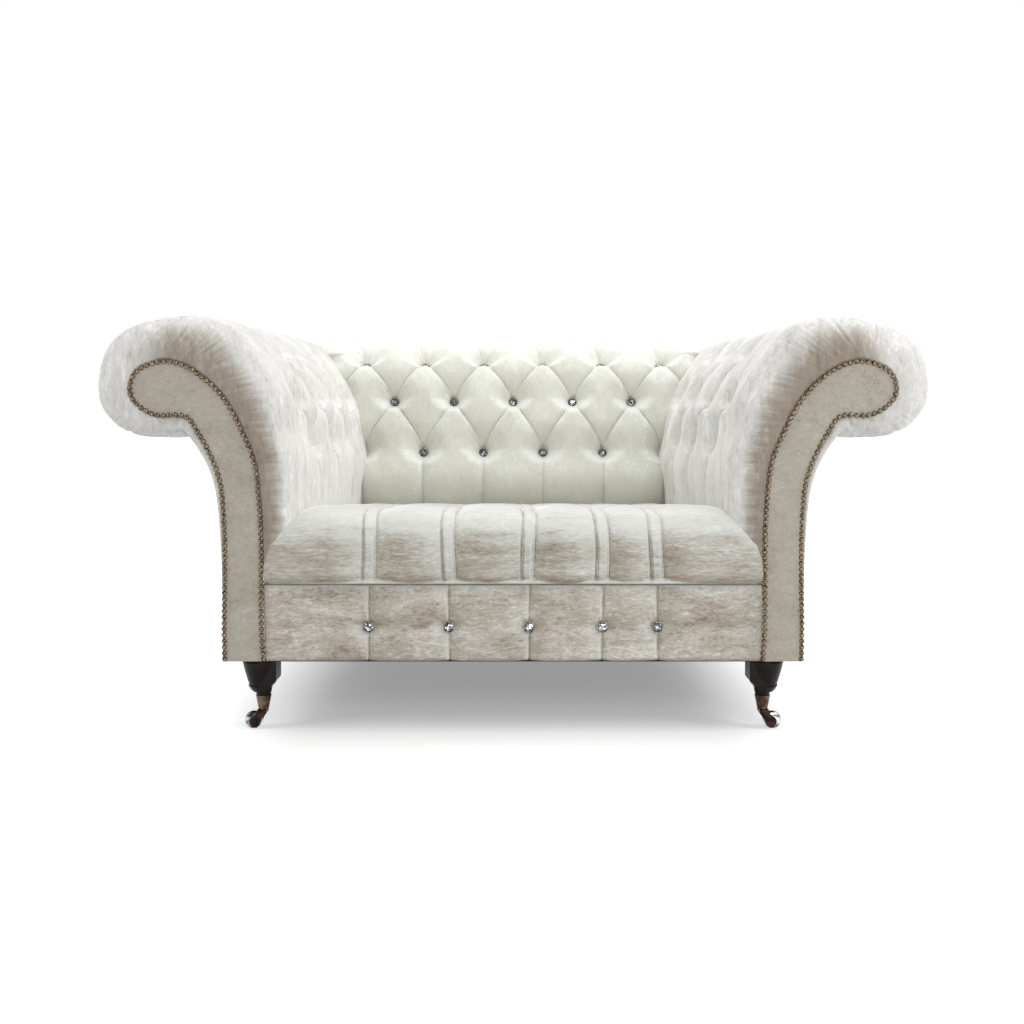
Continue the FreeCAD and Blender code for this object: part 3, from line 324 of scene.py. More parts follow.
def fan_pleats(u, v, buttons, seed, deep, count=11, spread=0.60, longest=0.090):
    """Fine pleats that fan out upward from each button, and a few short ones below it."""
    draw = np.random.default_rng(seed)
    total = np.zeros(u.shape)
    for cu, cv, scale, _ in buttons:
        du, dv = u - cu, v - cv
        for k in range(count + 3):
            upward = k < count
            angle = (0 if upward else math.pi) + draw.uniform(-spread, spread)
            length = longest * draw.uniform(0.5, 1.0) * (1 if upward else 0.45)
            wide = draw.uniform(0.0018, 0.0030)
            depth = deep * draw.uniform(0.5, 1.2) * scale
            along = du * math.sin(angle) + dv * math.cos(angle)
            off = du * math.cos(angle) - dv * math.sin(angle)
            off += 0.0016 * np.sin(along * 70 + k)
            share = along / length
            fade = smooth(along / 0.012) * np.clip(1 - share, 0, 1) ** 0.8
            grown = wide * (0.8 + 0.7 * np.clip(share, 0, 1))
            total += depth * np.exp(-(off / grown) ** 2) * fade
    return total


def tufts(u, v, buttons, lines, deep, floor, wide, crease, seed, fan):
    """Depth of pits, creases and pleats together. Creases lose depth inside a pit."""
    pit = pit_depth(u, v, buttons, deep, floor, 0.066)
    groove = crease_depth(u, v, lines, wide, crease)
    return pit + groove * (1 - 0.75 * pit / deep) + fan_pleats(u, v, buttons, seed, fan)


# Materials. Colours are given as 0-255 display values.

def linear(colour):
    """Linear RGBA from display values."""
    parts = [value / 255 for value in colour]
    return (*(c / 12.92 if c <= 0.04045 else ((c + 0.055) / 1.055) ** 2.4 for c in parts), 1)


class Nodes:
    """Nodes of a material or world. Each call adds a node and gives its output."""

    def __init__(self, owner):
        owner.use_nodes = True
        self.owner = owner
        self.nodes = owner.node_tree.nodes
        self.links = owner.node_tree.links
        self.shader = self.nodes.get("Principled BSDF")

    def feed(self, socket, value):
        if isinstance(value, bpy.types.NodeSocket):
            self.links.new(value, socket)
        else:
            socket.default_value = value

    def set(self, values):
        """Numbers, colours or outputs for sockets of the Principled shader."""
        for name, value in values.items():
            self.feed(self.shader.inputs[name], value)

    def add(self, kind, output, inputs=(), **settings):
        node = self.nodes.new("ShaderNode" + kind)
        for name, value in settings.items():
            setattr(node, name, value)
        for name, value in dict(inputs).items():
            self.feed(node.inputs[name], value)
        return node.outputs[output]

    def axes(self):
        """Object coordinates X, Y and Z."""
        place = self.add("TexCoord", "Object")
        return self.add("SeparateXYZ", 0, {0: place}).node.outputs

    def stretched(self, scale=(1, 1, 1)):
        return self.add("Mapping", 0, {0: self.add("TexCoord", "Object"), "Scale": scale})

    def noise(self, vector, scale, detail=4.0, rough=0.55, distortion=0.0):
        return self.add("TexNoise", "Fac", {"Vector": vector, "Scale": scale, "Detail": detail,
                                            "Roughness": rough, "Distortion": distortion})

    def math(self, kind, *values):
        return self.add("Math", 0, enumerate(values), operation=kind)

    def step(self, value, low, high):
        """Smooth 0 to 1 as the value goes from low to high, either way round."""
        return self.add("MapRange", "Result", {"Value": value, "From Min": low, "From Max": high},
                        interpolation_type="SMOOTHSTEP")

    def ramp(self, fac, stops):
        """Colour by fac, from (position, linear colour) stops."""
        colour = self.add("ValToRGB", "Color", {"Fac": fac})
        band = colour.node.color_ramp
        band.interpolation = "EASE"
        while len(band.elements) < len(stops):
            band.elements.new(0.5)
        for element, (at, value) in zip(band.elements, stops):
            element.position = at
            element.color = value
        return colour

    def bump(self, height, strength, distance, before=None):
        inputs = {"Height": height, "Strength": strength, "Distance": distance}
        if before is not None:
            inputs["Normal"] = before
        normal = self.add("Bump", "Normal", inputs)
        self.set({"Normal": normal})
        return normal


def new_material(name):
    return Nodes(bpy.data.materials.new(name))


def painted_shade_beside_studs(m, full, none):
    """Share of painted shade beside the studs, where the cover bends round the front edge into the
    stud line; its edge is brushed along the arm. It is strong on the inner side of the scroll
    only."""
    x, y, z = m.axes()
    course = m.add("Attribute", "Fac", attribute_name="course")
    strokes = m.add("CombineXYZ", 0, {0: course, 1: m.math("MULTIPLY", y, 0.25)})
    wander = m.math("MULTIPLY_ADD", m.noise(strokes, 95.0, 4.0, 0.7, 0.2), 0.018, -0.009)
    # Painted shade by Y: full at the stud line, none about 22 mm behind it.
    near = m.step(m.math("ADD", y, wander), none, full)
    # Keep the painted shade to the inner side of the scroll; elsewhere it is at 0.12 of its
    # strength.
    out = m.math("ABSOLUTE", x)
    inner = m.math("MAXIMUM", m.step(out, 0.66, 0.60), m.step(z, 0.62, 0.70))
    inner = m.math("MULTIPLY", inner, m.step(out, 0.81, 0.71))
    return m.math("MULTIPLY", near, m.math("MAXIMUM", inner, 0.12))


def painted_shade_by_facing(m, marks, shade_facing, turned):
    """Share of painted shade where the surface faces the given direction (turned from the light or
    towards the front), broken up by the pile's marks.
    """
    normal = m.add("TexCoord", "Normal")
    # Painted shade by the surface's own normal: the more it faces the given direction, the darker
    # the colour.
    lean = m.add("VectorMath", "Value", {0: normal, 1: shade_facing}, operation="DOT_PRODUCT")
    return m.step(m.math("ADD", lean, m.math("MULTIPLY_ADD", marks, -1.5, 0.75)), *turned)


# Painted shade falls by default on surfaces that face the front and a little down.
def velvet(name, shade, light, stretch, crush=1.0, sheen=1.0, spread=0.14, fine=1.0,
           shade_facing=(0, -0.92, -0.39), turned=(0.30, 0.93), beside=None):
    """Crushed velvet: pile pressed in patches, streaks and scratches, in three tones for its light
    side and three for its painted shade, mixed by a share of painted shade."""
    m = new_material(name)
    where = m.stretched(stretch)
    patches = m.math("MULTIPLY", m.noise(where, 9.0, 6.0, 0.62, 0.9), 0.34)
    streaks = m.math("MULTIPLY", m.noise(where, 70.0 * fine, 5.0, 0.72, 0.8), 0.40)
    scratches = m.math("MULTIPLY", m.noise(where, 190.0 * fine, 3.0, 0.7, 0.4), 0.26)
    marks = m.math("ADD", m.math("ADD", patches, streaks), scratches)
    # dark is the share of painted shade: by place beside the studs, or by the way the surface
    # faces.
    dark = painted_shade_beside_studs(m, *beside) if beside else painted_shade_by_facing(m, marks, shade_facing, turned)
    stops = (0.5 - spread, 0.5, 0.5 + spread)
    # light_tone is the velvet's lit colour, shade_tone its painted shaded copy.
    light_tone, shade_tone = (m.ramp(marks, list(zip(stops, map(linear, tones))))
                              for tones in (light, shade))
    factor, light_socket, shade_socket, colour_output = 0, 6, 7, 2
    colour = m.add("Mix", colour_output, {factor: dark, light_socket: light_tone,
                                          shade_socket: shade_tone}, data_type="RGBA")
    m.set({"Base Color": colour, "Roughness": 0.65, "Specular IOR Level": 0.25,
           "Sheen Weight": sheen, "Sheen Roughness": 0.36, "Sheen Tint": linear((255, 254, 252))})
    pile = m.bump(m.noise(m.stretched(), 900.0, 2.0, 0.5), 0.2, 0.0005)
    m.bump(m.noise(where, 30.0, 6.0, 0.62, 1.0), 0.40 * crush, 0.004, pile)
    return m.owner


def metal(name, colour, rough, uneven, scale, dark):
    """Metal whose colour and gloss vary in spots. On the chrome the colour spots are painted
    reflections.
    """
    m = new_material(name)
    spots = m.noise(m.stretched(), scale, 5.0, 0.6)
    m.set({"Metallic": 1.0, "Base Color": m.ramp(spots, [(0.35, linear(dark)),
                                                         (0.62, linear(colour))]),
           "Roughness": m.add("MapRange", "Result", {"Value": spots, "To Min": rough * 0.7,
                                                     "To Max": rough * 1.35})})
    if uneven:
        m.bump(spots, uneven, 0.0006)
    return m.owner


def wood(name, dark, light, rough, coat, stretch):
    m = new_material(name)
    where = m.stretched(stretch)
    broad = m.math("MULTIPLY", m.noise(where, 1.2, 3.0, 0.5, 0.8), 0.7)
    fibres = m.noise(where, 9.0, 8.0, 0.7)
    grain = m.math("ADD", broad, m.math("MULTIPLY", fibres, 0.3))
    m.set({"Base Color": m.ramp(grain, [(0.40, linear(dark)), (0.62, linear(light))]),
           "Roughness": rough, "Specular IOR Level": 0.08, "Coat Weight": coat,
           "Coat Roughness": 0.03})
    m.bump(fibres, 0.03, 0.0002)
    return m.owner


def weave(name, dark, light, pitch):
    """Plain weave seen close to."""
    m = new_material(name)
    where = m.stretched()
    height = m.math("ADD", *(m.add("TexWave", "Fac", {"Vector": where, "Scale": 1 / pitch / 3.2,
                                                      "Distortion": 0.4}, bands_direction=axis)
                             for axis in "XY"))
    fac = m.math("MULTIPLY", height, m.noise(where, 30.0, 4.0, 0.6))
    m.set({"Base Color": m.ramp(fac, [(0.1, linear(dark)), (0.9, linear(light))]),
           "Roughness": 0.9})
    m.bump(height, 0.4, 0.0005)
    return m.owner


def crystal_material():
    """Cut crystal over a foil back, with painted reflections: a Voronoi pattern colours the facets
    from dark to white in place of what each would mirror.
    """
    m = new_material("crystal")
    facets = m.add("TexVoronoi", "Color", {"Vector": m.stretched(), "Scale": 420.0})
    # Painted reflections: the facet colours stand in for the dark and bright things the crystal
    # would mirror.
    tone = m.ramp(m.add("SeparateColor", 0, {0: facets}),
                  [(0.25, linear((26, 28, 30))), (0.52, linear((84, 88, 90))),
                   (0.74, linear((160, 165, 168))), (0.90, linear((246, 248, 248)))])
    m.set({"Base Color": tone, "Metallic": 0.85, "Roughness": 0.04, "Coat Weight": 1.0,
           "Coat Roughness": 0.01})
    return m.owner


def nylon_material():
    m = new_material("glide_nylon")
    spots = m.noise(m.stretched(), 120.0, 3.0, 0.5)
    m.set({"Base Color": m.ramp(spots, [(0.3, linear((28, 28, 28))), (0.7, linear((44, 43, 42)))]),
           "Roughness": 0.5})
    m.bump(spots, 0.1, 0.0004)
    return m.owner


# The arm's shade tones are painted brown shade, used beside the studs.
arm_velvet = velvet("ivory_crushed_velvet",
                    ((122, 110, 96), (144, 133, 119), (168, 160, 148)),
                    ((180, 178, 173), (212, 211, 207), (238, 239, 237)),
                    (1.3, 1.7, 0.5), 0.8, 0.8, 0.14, 0.6, beside=(-0.4450, -0.4225))
outer_velvet = velvet("outer_crushed_velvet",
                      ((184, 180, 174), (204, 201, 196), (222, 220, 216)),
                      ((188, 186, 181), (208, 207, 203), (228, 229, 226)),
                      (1.8, 1.8, 0.4), 0.8, 1.0, 0.17)
# The direction given puts painted shade on seat surfaces that face front, down and left, as if lit
# from above and the right.
seat_velvet = velvet("seat_crushed_velvet",
                     ((124, 111, 92), (150, 138, 119), (184, 176, 160)),
                     ((174, 174, 166), (200, 201, 195), (222, 224, 220)),
                     (0.35, 1.8, 2.0), 0.8, 1.0, 0.17, 1.3,
                     shade_facing=(-0.42, -0.78, -0.46), turned=(0.46, 1.04))
# The border's painted shade likewise falls on surfaces facing front, down and left.
border_velvet = velvet("border_crushed_velvet",
                       ((132, 119, 102), (164, 155, 140), (200, 195, 184)),
                       ((184, 180, 170), (204, 202, 194), (222, 222, 217)),
                       (0.55, 1.8, 1.6), 0.8, 1.0, 0.15, 1.2,
                       shade_facing=(-0.45, -0.64, -0.62), turned=(0.34, 0.84))
back_velvet = velvet("back_velvet",
                     ((198, 198, 187), (208, 208, 197), (217, 218, 209)),
                     ((212, 213, 204), (220, 221, 214), (229, 231, 226)),
                     (1.2, 1.0, 0.7), 0.4)
facing_velvet = velvet("facing_velvet",
                       ((146, 137, 123), (170, 164, 151), (190, 187, 177)),
                       ((150, 142, 130), (160, 152, 140), (176, 170, 158)),
                       (0.9, 1.0, 1.4), 0.4, 0.4, 0.15)
mahogany = wood("mahogany_gloss", (8, 4, 4), (22, 10, 9), 0.3, 0.14, (30, 30, 3))
raw_wood = wood("frame_wood", (168, 132, 92), (206, 172, 128), 0.7, 0.0, (8, 8, 8))
bronze = metal("antique_bronze", (150, 132, 110), 0.24, 0.25, 260.0, (46, 36, 28))
castor_bronze = metal("castor_bronze", (112, 94, 82), 0.24, 0.03, 45.0, (62, 46, 38))
fork_bronze = metal("fork_bronze", (66, 52, 46), 0.22, 0.03, 60.0, (34, 26, 22))
# The chrome's dark and bright colour patches are painted reflections of the dark things a chrome
# wheel would mirror.
chrome = metal("castor_chrome", (226, 226, 226), 0.08, 0.0, 42.0, (70, 68, 68))
button_metal = metal("button_metal", (170, 170, 166), 0.16, 0.1, 300.0, (84, 84, 82))
spring_steel = metal("spring_steel", (120, 118, 116), 0.35, 0.1, 80.0, (90.448, 88.889, 87.330))
hessian = weave("hessian", (150, 122, 84), (188, 160, 116), 0.002)
dust_cloth = weave("dust_cloth", (24, 24, 26), (52, 52, 54), 0.0012)
webbing = weave("webbing", (120, 96, 66), (176, 150, 110), 0.003)
crystal = crystal_material()
nylon = nylon_material()

CAD_FINISH = {
    "front_leg": mahogany, "rear_leg": mahogany, "facing_studs": bronze,
    "castor_cup": castor_bronze, "castor_fork": fork_bronze, "castor_pintle": fork_bronze,
    "castor_axle": fork_bronze, "castor_wheel": chrome, "rear_glides": nylon,
    "dust_cover": dust_cloth, "seat_springs": spring_steel, "spring_clips": spring_steel,
    "leg_bolts": spring_steel, "seat_platform": hessian, "back_webbing": webbing,
}


def finish_cad_nodes():
    for name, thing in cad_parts.items():
        finish = raw_wood
        for stem, material in CAD_FINISH.items():
            if name.startswith(stem):
                finish = material
        if not thing.data.materials:
            thing.data.materials.append(finish)
        for slot in thing.material_slots:
            slot.material = finish


# Scroll of the arms

def scroll_height(kind, distance):
    return UNDERSIDE + distance / 1000 if kind == "above" else ARM_TOP - distance / 1000


def scroll_point(index, grow=0.0):
    """Point of the scroll, X and Z, moved outward by grow."""
    across, kind, distance = SCROLL[index]
    before = SCROLL[max(index - 1, 0)]
    after = SCROLL[min(index + 1, len(SCROLL) - 1)]
    run = (after[0] - before[0]) / 1000
    rise = scroll_height(*after[1:]) - scroll_height(*before[1:])
    length = math.hypot(run, rise)
    return (HALF_SEAT + across / 1000 - grow * rise / length,
            scroll_height(kind, distance) + grow * run / length)


def scroll_line():
    """Points along the scroll's edge, X and Z, with the outward direction at each."""
    return with_normals(smooth_path([scroll_point(i) for i in range(len(SCROLL))], 0.004))


def inner_line_x(z):
    """Half distance between the stud lines that face each other, by height."""
    line, _ = scroll_line()
    rising = line[line[:, 1] < 0.60]
    rising = rising[:int(np.argmax(rising[:, 1])) + 1]
    return np.interp(z, rising[:, 1], rising[:, 0])


PANEL_GROW = 0.003
PANEL_CROWN = 0.0022
PUCKER_REACH = 0.022
STUD_PITCH = 0.0124
# Rings of a panel: distance inside its edge, depth as shares of its thickness and of its crown
PANEL_RINGS = [(0.0, 0.95, 0.0), (0.0, 0.18, 0.0), (0.0012, 0.0, 0.0), (0.004, 0.0, 0.35),
               (0.008, 0.0, 0.60), (0.014, 0.0, 0.82), (0.022, 0.0, 0.96), (0.030, 0.0, 1.0)]


def padded_panel(name, node, side, plane, thick, toward, puckers=0.0):
    """Padded panel in the scroll's outline: edge rings, then one flat face, on both sides."""
    line, outward = scroll_line()
    pucker = puckers * (0.5 + 0.5 * np.cos(chords(line) / STUD_PITCH * 2 * math.pi))
    rings = []
    for inset, behind, crown in PANEL_RINGS:
        points = line + outward * (PANEL_GROW - inset)
        points[:, 1] = np.maximum(points[:, 1], UNDERSIDE + 0.15 * inset)
        near = max(0.0, 1 - inset / PUCKER_REACH) if inset else 0.0
        depth = thick * behind - PANEL_CROWN * crown + pucker * near
        rings.append(grid(side * points[:, 0], plane + toward * depth, points[:, 1]))
    verts = np.concatenate(rings)
    faces = ring_faces(len(rings), len(line))
    for start, ring in ((len(verts) - len(line), rings[-1]), (0, rings[0])):
        flat = [Vector((float(x), float(z), 0)) for x, _, z in ring]
        faces += [tuple(start + i for i in corners) for corners in tessellate_polygon([flat])]
    make_object(name, verts, faces, facing_velvet, node)


# Arm pads: rows run along the scroll and columns along Y

ARM_COLUMNS = {3: (-0.215, -0.065, 0.085), 5: (-0.29, -0.14, 0.01, 0.16),
               7: (-0.215, -0.065, 0.085)}
ARM_STEP = 0.0029


def arm_rows():
    """Feet and rear outer points (X, Z), and front thickness of each station."""
    feet = [(inner_line_x(z) - PAD_GROW, z) for z in (SEAM, ARM_FOOT_TOP)]
    outer = [(BACK_HALF, SEAM), (BACK_HALF, ARM_FOOT_TOP)]
    thick = [0.060, 0.066]
    for index, ((across, drop), near) in enumerate(ARM_STATIONS, SCROLL_START):
        foot = scroll_point(index, PAD_GROW)
        tip = (HALF_SEAT + across / 1000, ARM_TOP - drop / 1000)
        feet.append(foot)
        outer.append(tip)
        thick.append(near / 1000 if near else math.dist(tip, foot))
    return np.array(feet), np.array(outer), np.array(thick)


def arm_creases(row, seat_line):
    """Creases between the pits, down to the seat, round the scroll and towards both ends."""
    lines = []
    for y in ARM_COLUMNS[5]:
        for dy in (-0.075, 0.075):
            if -0.22 < y + dy < 0.09:
                lines.append((arc_crease((y, row[5]), (y + dy, row[3])), [0.9] * 7))
                lines.append((arc_crease((y + dy, row[7]), (y, row[5])), [1.0] * 7))
    for y in ARM_COLUMNS[3]:
        lines.append(straight_crease((y, row[3]), (y, seat_line), np.linspace(0.9, 0.5, 5)))
    for y in ARM_COLUMNS[7]:
        line, fade = straight_crease((y, row[7]), (y, row[7] + 0.30), (1.0, 0.8, 0.5, 0.2, 0.0))
        line[:, 0] += (0, 0.004, 0.002, -0.003, 0)
        lines.append((line, fade))
    for y, dy in ((-0.29, -0.045), (0.16, 0.03)):
        for end in (row[3], row[7]):
            lines.append(straight_crease((y, row[5]), (y + dy, end), (1.0, 0.8, 0.5, 0.25, 0.0)))
    return lines


def arm_gathers(u, v, knots, count=70):
    """Short pleats that gather the cover round the front of the scroll."""
    draw = np.random.default_rng(5)
    total = np.zeros(u.shape)
    start, end = knots[7], knots[-1]
    for k in range(count):
        place = start + (end - start) * (k + draw.uniform(-0.35, 0.35)) / count
        wide = draw.uniform(0.0024, 0.0048)
        deep = draw.uniform(0.0014, 0.0052) * (0.45 if place < knots[9] else 1.0)
        reach = draw.uniform(0.016, 0.050)
        lean = draw.uniform(-0.12, 0.12)
        off = v - place - lean * (u - ARM_FRONT)
        total += deep * np.exp(-(off / wide) ** 2) * np.exp(-((u - ARM_FRONT) / reach) ** 2)
    return total


def arm_surface():
    """Outer grid and both inner lines of the right arm's padding, and each row's way along it."""
    feet, outer, thick = arm_rows()
    knots = chords(outer)
    at = np.linspace(0, knots[-1], int(knots[-1] / ARM_STEP))
    weights = spline_basis(knots, at)
    reach, foot, turn = rays(feet, outer, weights)
    along = rounded_run(ARM_FRONT, BOARD_END, ARM_ROLL, REAR_ROUND, (30, 240, 9))
    share = np.clip((along - ARM_FULL) / (BACK_FACE - ARM_FULL), 0, 1)
    tight = smooth((at - knots[6]) / (knots[11] - knots[6]))[:, None]
    round_in = np.clip((along - ARM_FRONT) / ARM_ROLL, 0, 1)
    front_round = rounded(round_in * (1 + 0.9 * tight))
    rear_round = 0.45 + 0.55 * rounded((BOARD_END - along) / REAR_ROUND)
    height = weights @ (thick[:, None] + (reach - thick)[:, None] * share) + 0.009 * tight
    edge = 0.0025 - PAD_GROW
    height = (edge + (height - edge) * front_round) * rear_round
    u = np.broadcast_to(along, height.shape)
    v = np.broadcast_to(at[:, None], height.shape)
    row = {index: knots[index] for index in ARM_COLUMNS}
    pits = [(y, row[k], 0.85 if k == 3 else 1.0, LEAN) for k in row for y in ARM_COLUMNS[k]]
    inward = tufts(u, v, pits, arm_creases(row, knots[1] - 0.02), TUFT_DEPTH - 0.004, 0.008,
                   0.046, 0.012, 11, 0.0018)
    x, z = along_rays(foot, turn, height)
    inward -= 0.0016 * waves(grid(x, u, z), 0.16, 3) * front_round * rear_round
    inward += arm_gathers(u, v, knots) * front_round
    x, z = along_rays(foot, turn, height - inward)
    inner = [grid(foot[:, 0], y, foot[:, 1]) for y in (ARM_FRONT + 0.006, BOARD_END - 0.001)]
    return grid(x, u, z), inner, at


# Outside cover of an arm: stations of the scroll with their swell in mm, then heights below them

NECK = {16: 34, 17: 32, 18: 24, 19: 20, 20: 17, 21: 16}
NECK_LOW = (0.475, 0.43, 0.39, 0.35, 0.31, 0.27, 0.23, 0.19, UNDERSIDE)
NECK_ROUND = 0.007
NECK_LIFT = 0.0033


def outside_arm(word, side):
    """Taut cover down the outside of the arm."""
    near = [scroll_point(i, NECK_LIFT) for i in NECK]
    far = [scroll_point(i, swell / 1000) for i, swell in NECK.items()]
    line, _ = scroll_line()
    falling = line[(line[:, 0] > HALF_SEAT + 0.07) & (line[:, 1] < 0.56)][::-1]
    for z in NECK_LOW:
        x = np.interp(z, falling[:, 1], falling[:, 0])
        near.append((x + NECK_LIFT, z))
        far.append((x + np.interp(z, (UNDERSIDE, 0.367, 0.475), (0.0055, 0.009, 0.013)), z))
    knots = chords(far)
    weights = spline_basis(knots, np.linspace(0, knots[-1], 110))
    near, far = weights @ np.array(near), weights @ np.array(far)
    front, end = ARM_FRONT + 0.0012, BOARD_END - 0.0002
    along = rounded_run(front, end, NECK_ROUND, NECK_ROUND, (8, 120, 8))
    edge = np.clip(np.minimum(along - front, end - along) / NECK_ROUND, 0, 1)
    x, z = along_rays(near, far - near, 0.55 + 0.45 * rounded(edge))
    points = grid(x, along, z)
    points[..., 0] += 0.0009 * waves(points, 0.21, 21) * (edge > 0.5)
    inner = [mirrored(grid(near[:, 0], y, near[:, 1]), side) for y in (front, end)]
    closed_pad(f"outside_cover_{word}", mirrored(points, side), *inner, outer_velvet,
               f"outside_arm_{word}", 0.9)


def arms():
    points, inner, course = arm_surface()
    course = np.concatenate([np.repeat(course, points.shape[1]), course, course])
    for word, side in SIDES.items():
        pad = closed_pad(f"arm_cover_{word}", mirrored(points, side),
                         *(mirrored(line, side) for line in inner), arm_velvet,
                         f"arm_pad_{word}", 0.85)
        layer = pad.data.attributes.new("course", "FLOAT", "POINT")
        layer.data.foreach_set("value", course.astype(np.float32))
        padded_panel(f"facing_panel_{word}", f"arm_facing_{word}", side, FACING_FRONT + 0.0004,
                     0.0095, 1, 0.0010)
        padded_panel(f"rear_facing_panel_{word}", f"rear_facing_{word}", side,
                     BOARD_END + 0.003, 0.003, -1)
        outside_arm(word, side)


# Back: feet and outer points of its stations, distance before the rear and height in mm

BACK_FEET = [(172, 312), (172, 430), (172, 480), (172, 557), (172, 625), (172, 692), (172, 733),
             (155, 773), (138, 800), (102, 808), (75, 808), (45, 790), (38, 745), (38, 713)]
BACK_OUTER = [(260, 312), (260, 430), (278, 483), (262, 557), (250, 625), (236, 696),
              (222, 757), (198, 814), (160, 854), (102, 870), (55, 857), (9, 818), (0, 762),
              (7, 713)]
BACK_STEP = 0.0027
BACK_PITCH = 0.162
SIX = [k * BACK_PITCH for k in (-2.5, -1.5, -0.5, 0.5, 1.5, 2.5)]
SEVEN = [k * BACK_PITCH for k in (-3, -2, -1, 0, 1, 2, 3)]
# Rows of pits: station, places along X, and scale and lean of each pit
BACK_ROWS = {"low": (3, SIX, 1.0, LEAN), "high": (5, SEVEN, 1.0, LEAN), "top": (7, SIX, 1.0, 0.60),
             "rear": (10, SEVEN, 0.75, 0.2)}
# Inner side of the arm padding at the back, by height
ARM_INNER_Z = (0.30, 0.475, 0.526, 0.590, 0.638, 0.698, 0.748, 0.812, 0.862, 0.88)
ARM_INNER_X = (BACK_HALF, BACK_HALF, 0.396, 0.405, 0.409, 0.427, 0.455, 0.500, ROLL_HALF,
               ROLL_HALF)


def from_rear(points):
    return np.array([(REAR - d / 1000, z / 1000) for d, z in points])


def back_creases(row, end):
    """Creases between the rows, from the low row to the seat, and from the rear row to the end."""
    lines = []
    for upper, lower, strong in (("high", "low", 1.0), ("top", "high", 1.0),
                                 ("rear", "top", 0.7)):
        for x in BACK_ROWS[upper][1]:
            for other in BACK_ROWS[lower][1]:
                if abs(abs(x - other) - BACK_PITCH / 2) < 0.001:
                    lines.append((arc_crease((x, row[upper]), (other, row[lower])),
                                  [strong] * 7))
    for x in SIX:
        lines.append(straight_crease((x, row["low"]), (x, 0.02), (1.1, 1.1, 1.0, 0.9, 0.6)))
    for x in SEVEN:
        lines.append(straight_crease((x, row["rear"]), (x, end), (0.7, 0.5, 0.3, 0.15, 0.1)))
    return lines


def back():
    feet, outer = from_rear(BACK_FEET), from_rear(BACK_OUTER)
    knots = chords(outer)
    row = {word: knots[station] for word, (station, *_) in BACK_ROWS.items()}
    seen = np.arange(0.08, row["rear"] - 0.02, BACK_STEP)
    at = np.concatenate([np.linspace(0, 0.08, 12)[:-1], seen,
                         np.linspace(seen[-1], knots[-1], 48)[1:]])
    weights = spline_basis(knots, at)
    reach, foot, turn = rays(feet, outer, weights)
    height = (weights @ reach)[:, None]
    y, z = along_rays(foot, turn, height)
    limit = np.interp(z[:, 0], ARM_INNER_Z, ARM_INNER_X) + 0.004
    limit = np.where(at > row["top"] + 0.02, ROLL_HALF, limit)[:, None]
    u = np.linspace(-1, 1, int(2 * ROLL_HALF / BACK_STEP))[None, :] * ROLL_HALF
    across = squeezed(u, BACK_KEEP, ROLL_HALF, limit)
    v = np.broadcast_to(at[:, None], across.shape)
    pits = [(x, row[word], scale, lean)
            for word, (_, places, scale, lean) in BACK_ROWS.items() for x in places]
    inward = tufts(across, v, pits, back_creases(row, knots[-1]), TUFT_DEPTH - 0.0042, 0.011,
                   0.045, 0.011, 17, 0.0026)
    edge = rounded((ROLL_HALF - np.abs(u)) / 0.085)
    inward += 0.055 * (1 - edge) * smooth((v - row["top"]) / 0.06 + 0.5)
    inward -= 0.0014 * waves(grid(across, y, z), 0.14, 9)
    y, z = along_rays(foot, turn, height - np.minimum(inward, height - 0.006))
    inner = [grid(across[:, column], foot[:, 0], foot[:, 1]) for column in (0, -1)]
    closed_pad("back_cover", grid(across, y, z), *inner, back_velvet, "back_pad", 0.85)


# Seat and border

NOSE = FRONT + 0.004
SEAT_PROFILE = [
    (NOSE + 0.0024, SEAM + 0.0006), (NOSE + 0.0004, SEAM + 0.007), (NOSE, 0.350),
    (NOSE + 0.001, 0.388), (NOSE + 0.010, 0.425), (NOSE + 0.034, 0.453),
    (NOSE + 0.078, CREST - 0.001), (NOSE + 0.16, 0.4625), (NOSE + 0.30, 0.4505),
    (NOSE + 0.44, 0.4375), (NOSE + 0.56, 0.4255), (BACK_FACE - 0.012, 0.418),
    (BACK_FACE - 0.001, 0.408),
]
PLEAT_HALF = 0.0140
FRONT_COLUMNS = 520


def side_limit(y, z):
    """Half width of the seat between the arms at y and height z."""
    start = inner_line_x(z) - 0.0035
    front_part = start - (start - FRONT_HALF) * rounded((y - ARM_FRONT) / ARM_ROLL)
    share = np.clip((y - ARM_FULL) / (BACK_FACE - ARM_FULL), 0, 1)
    return np.where(y < ARM_FULL, front_part, FRONT_HALF - (FRONT_HALF - BACK_HALF) * share)


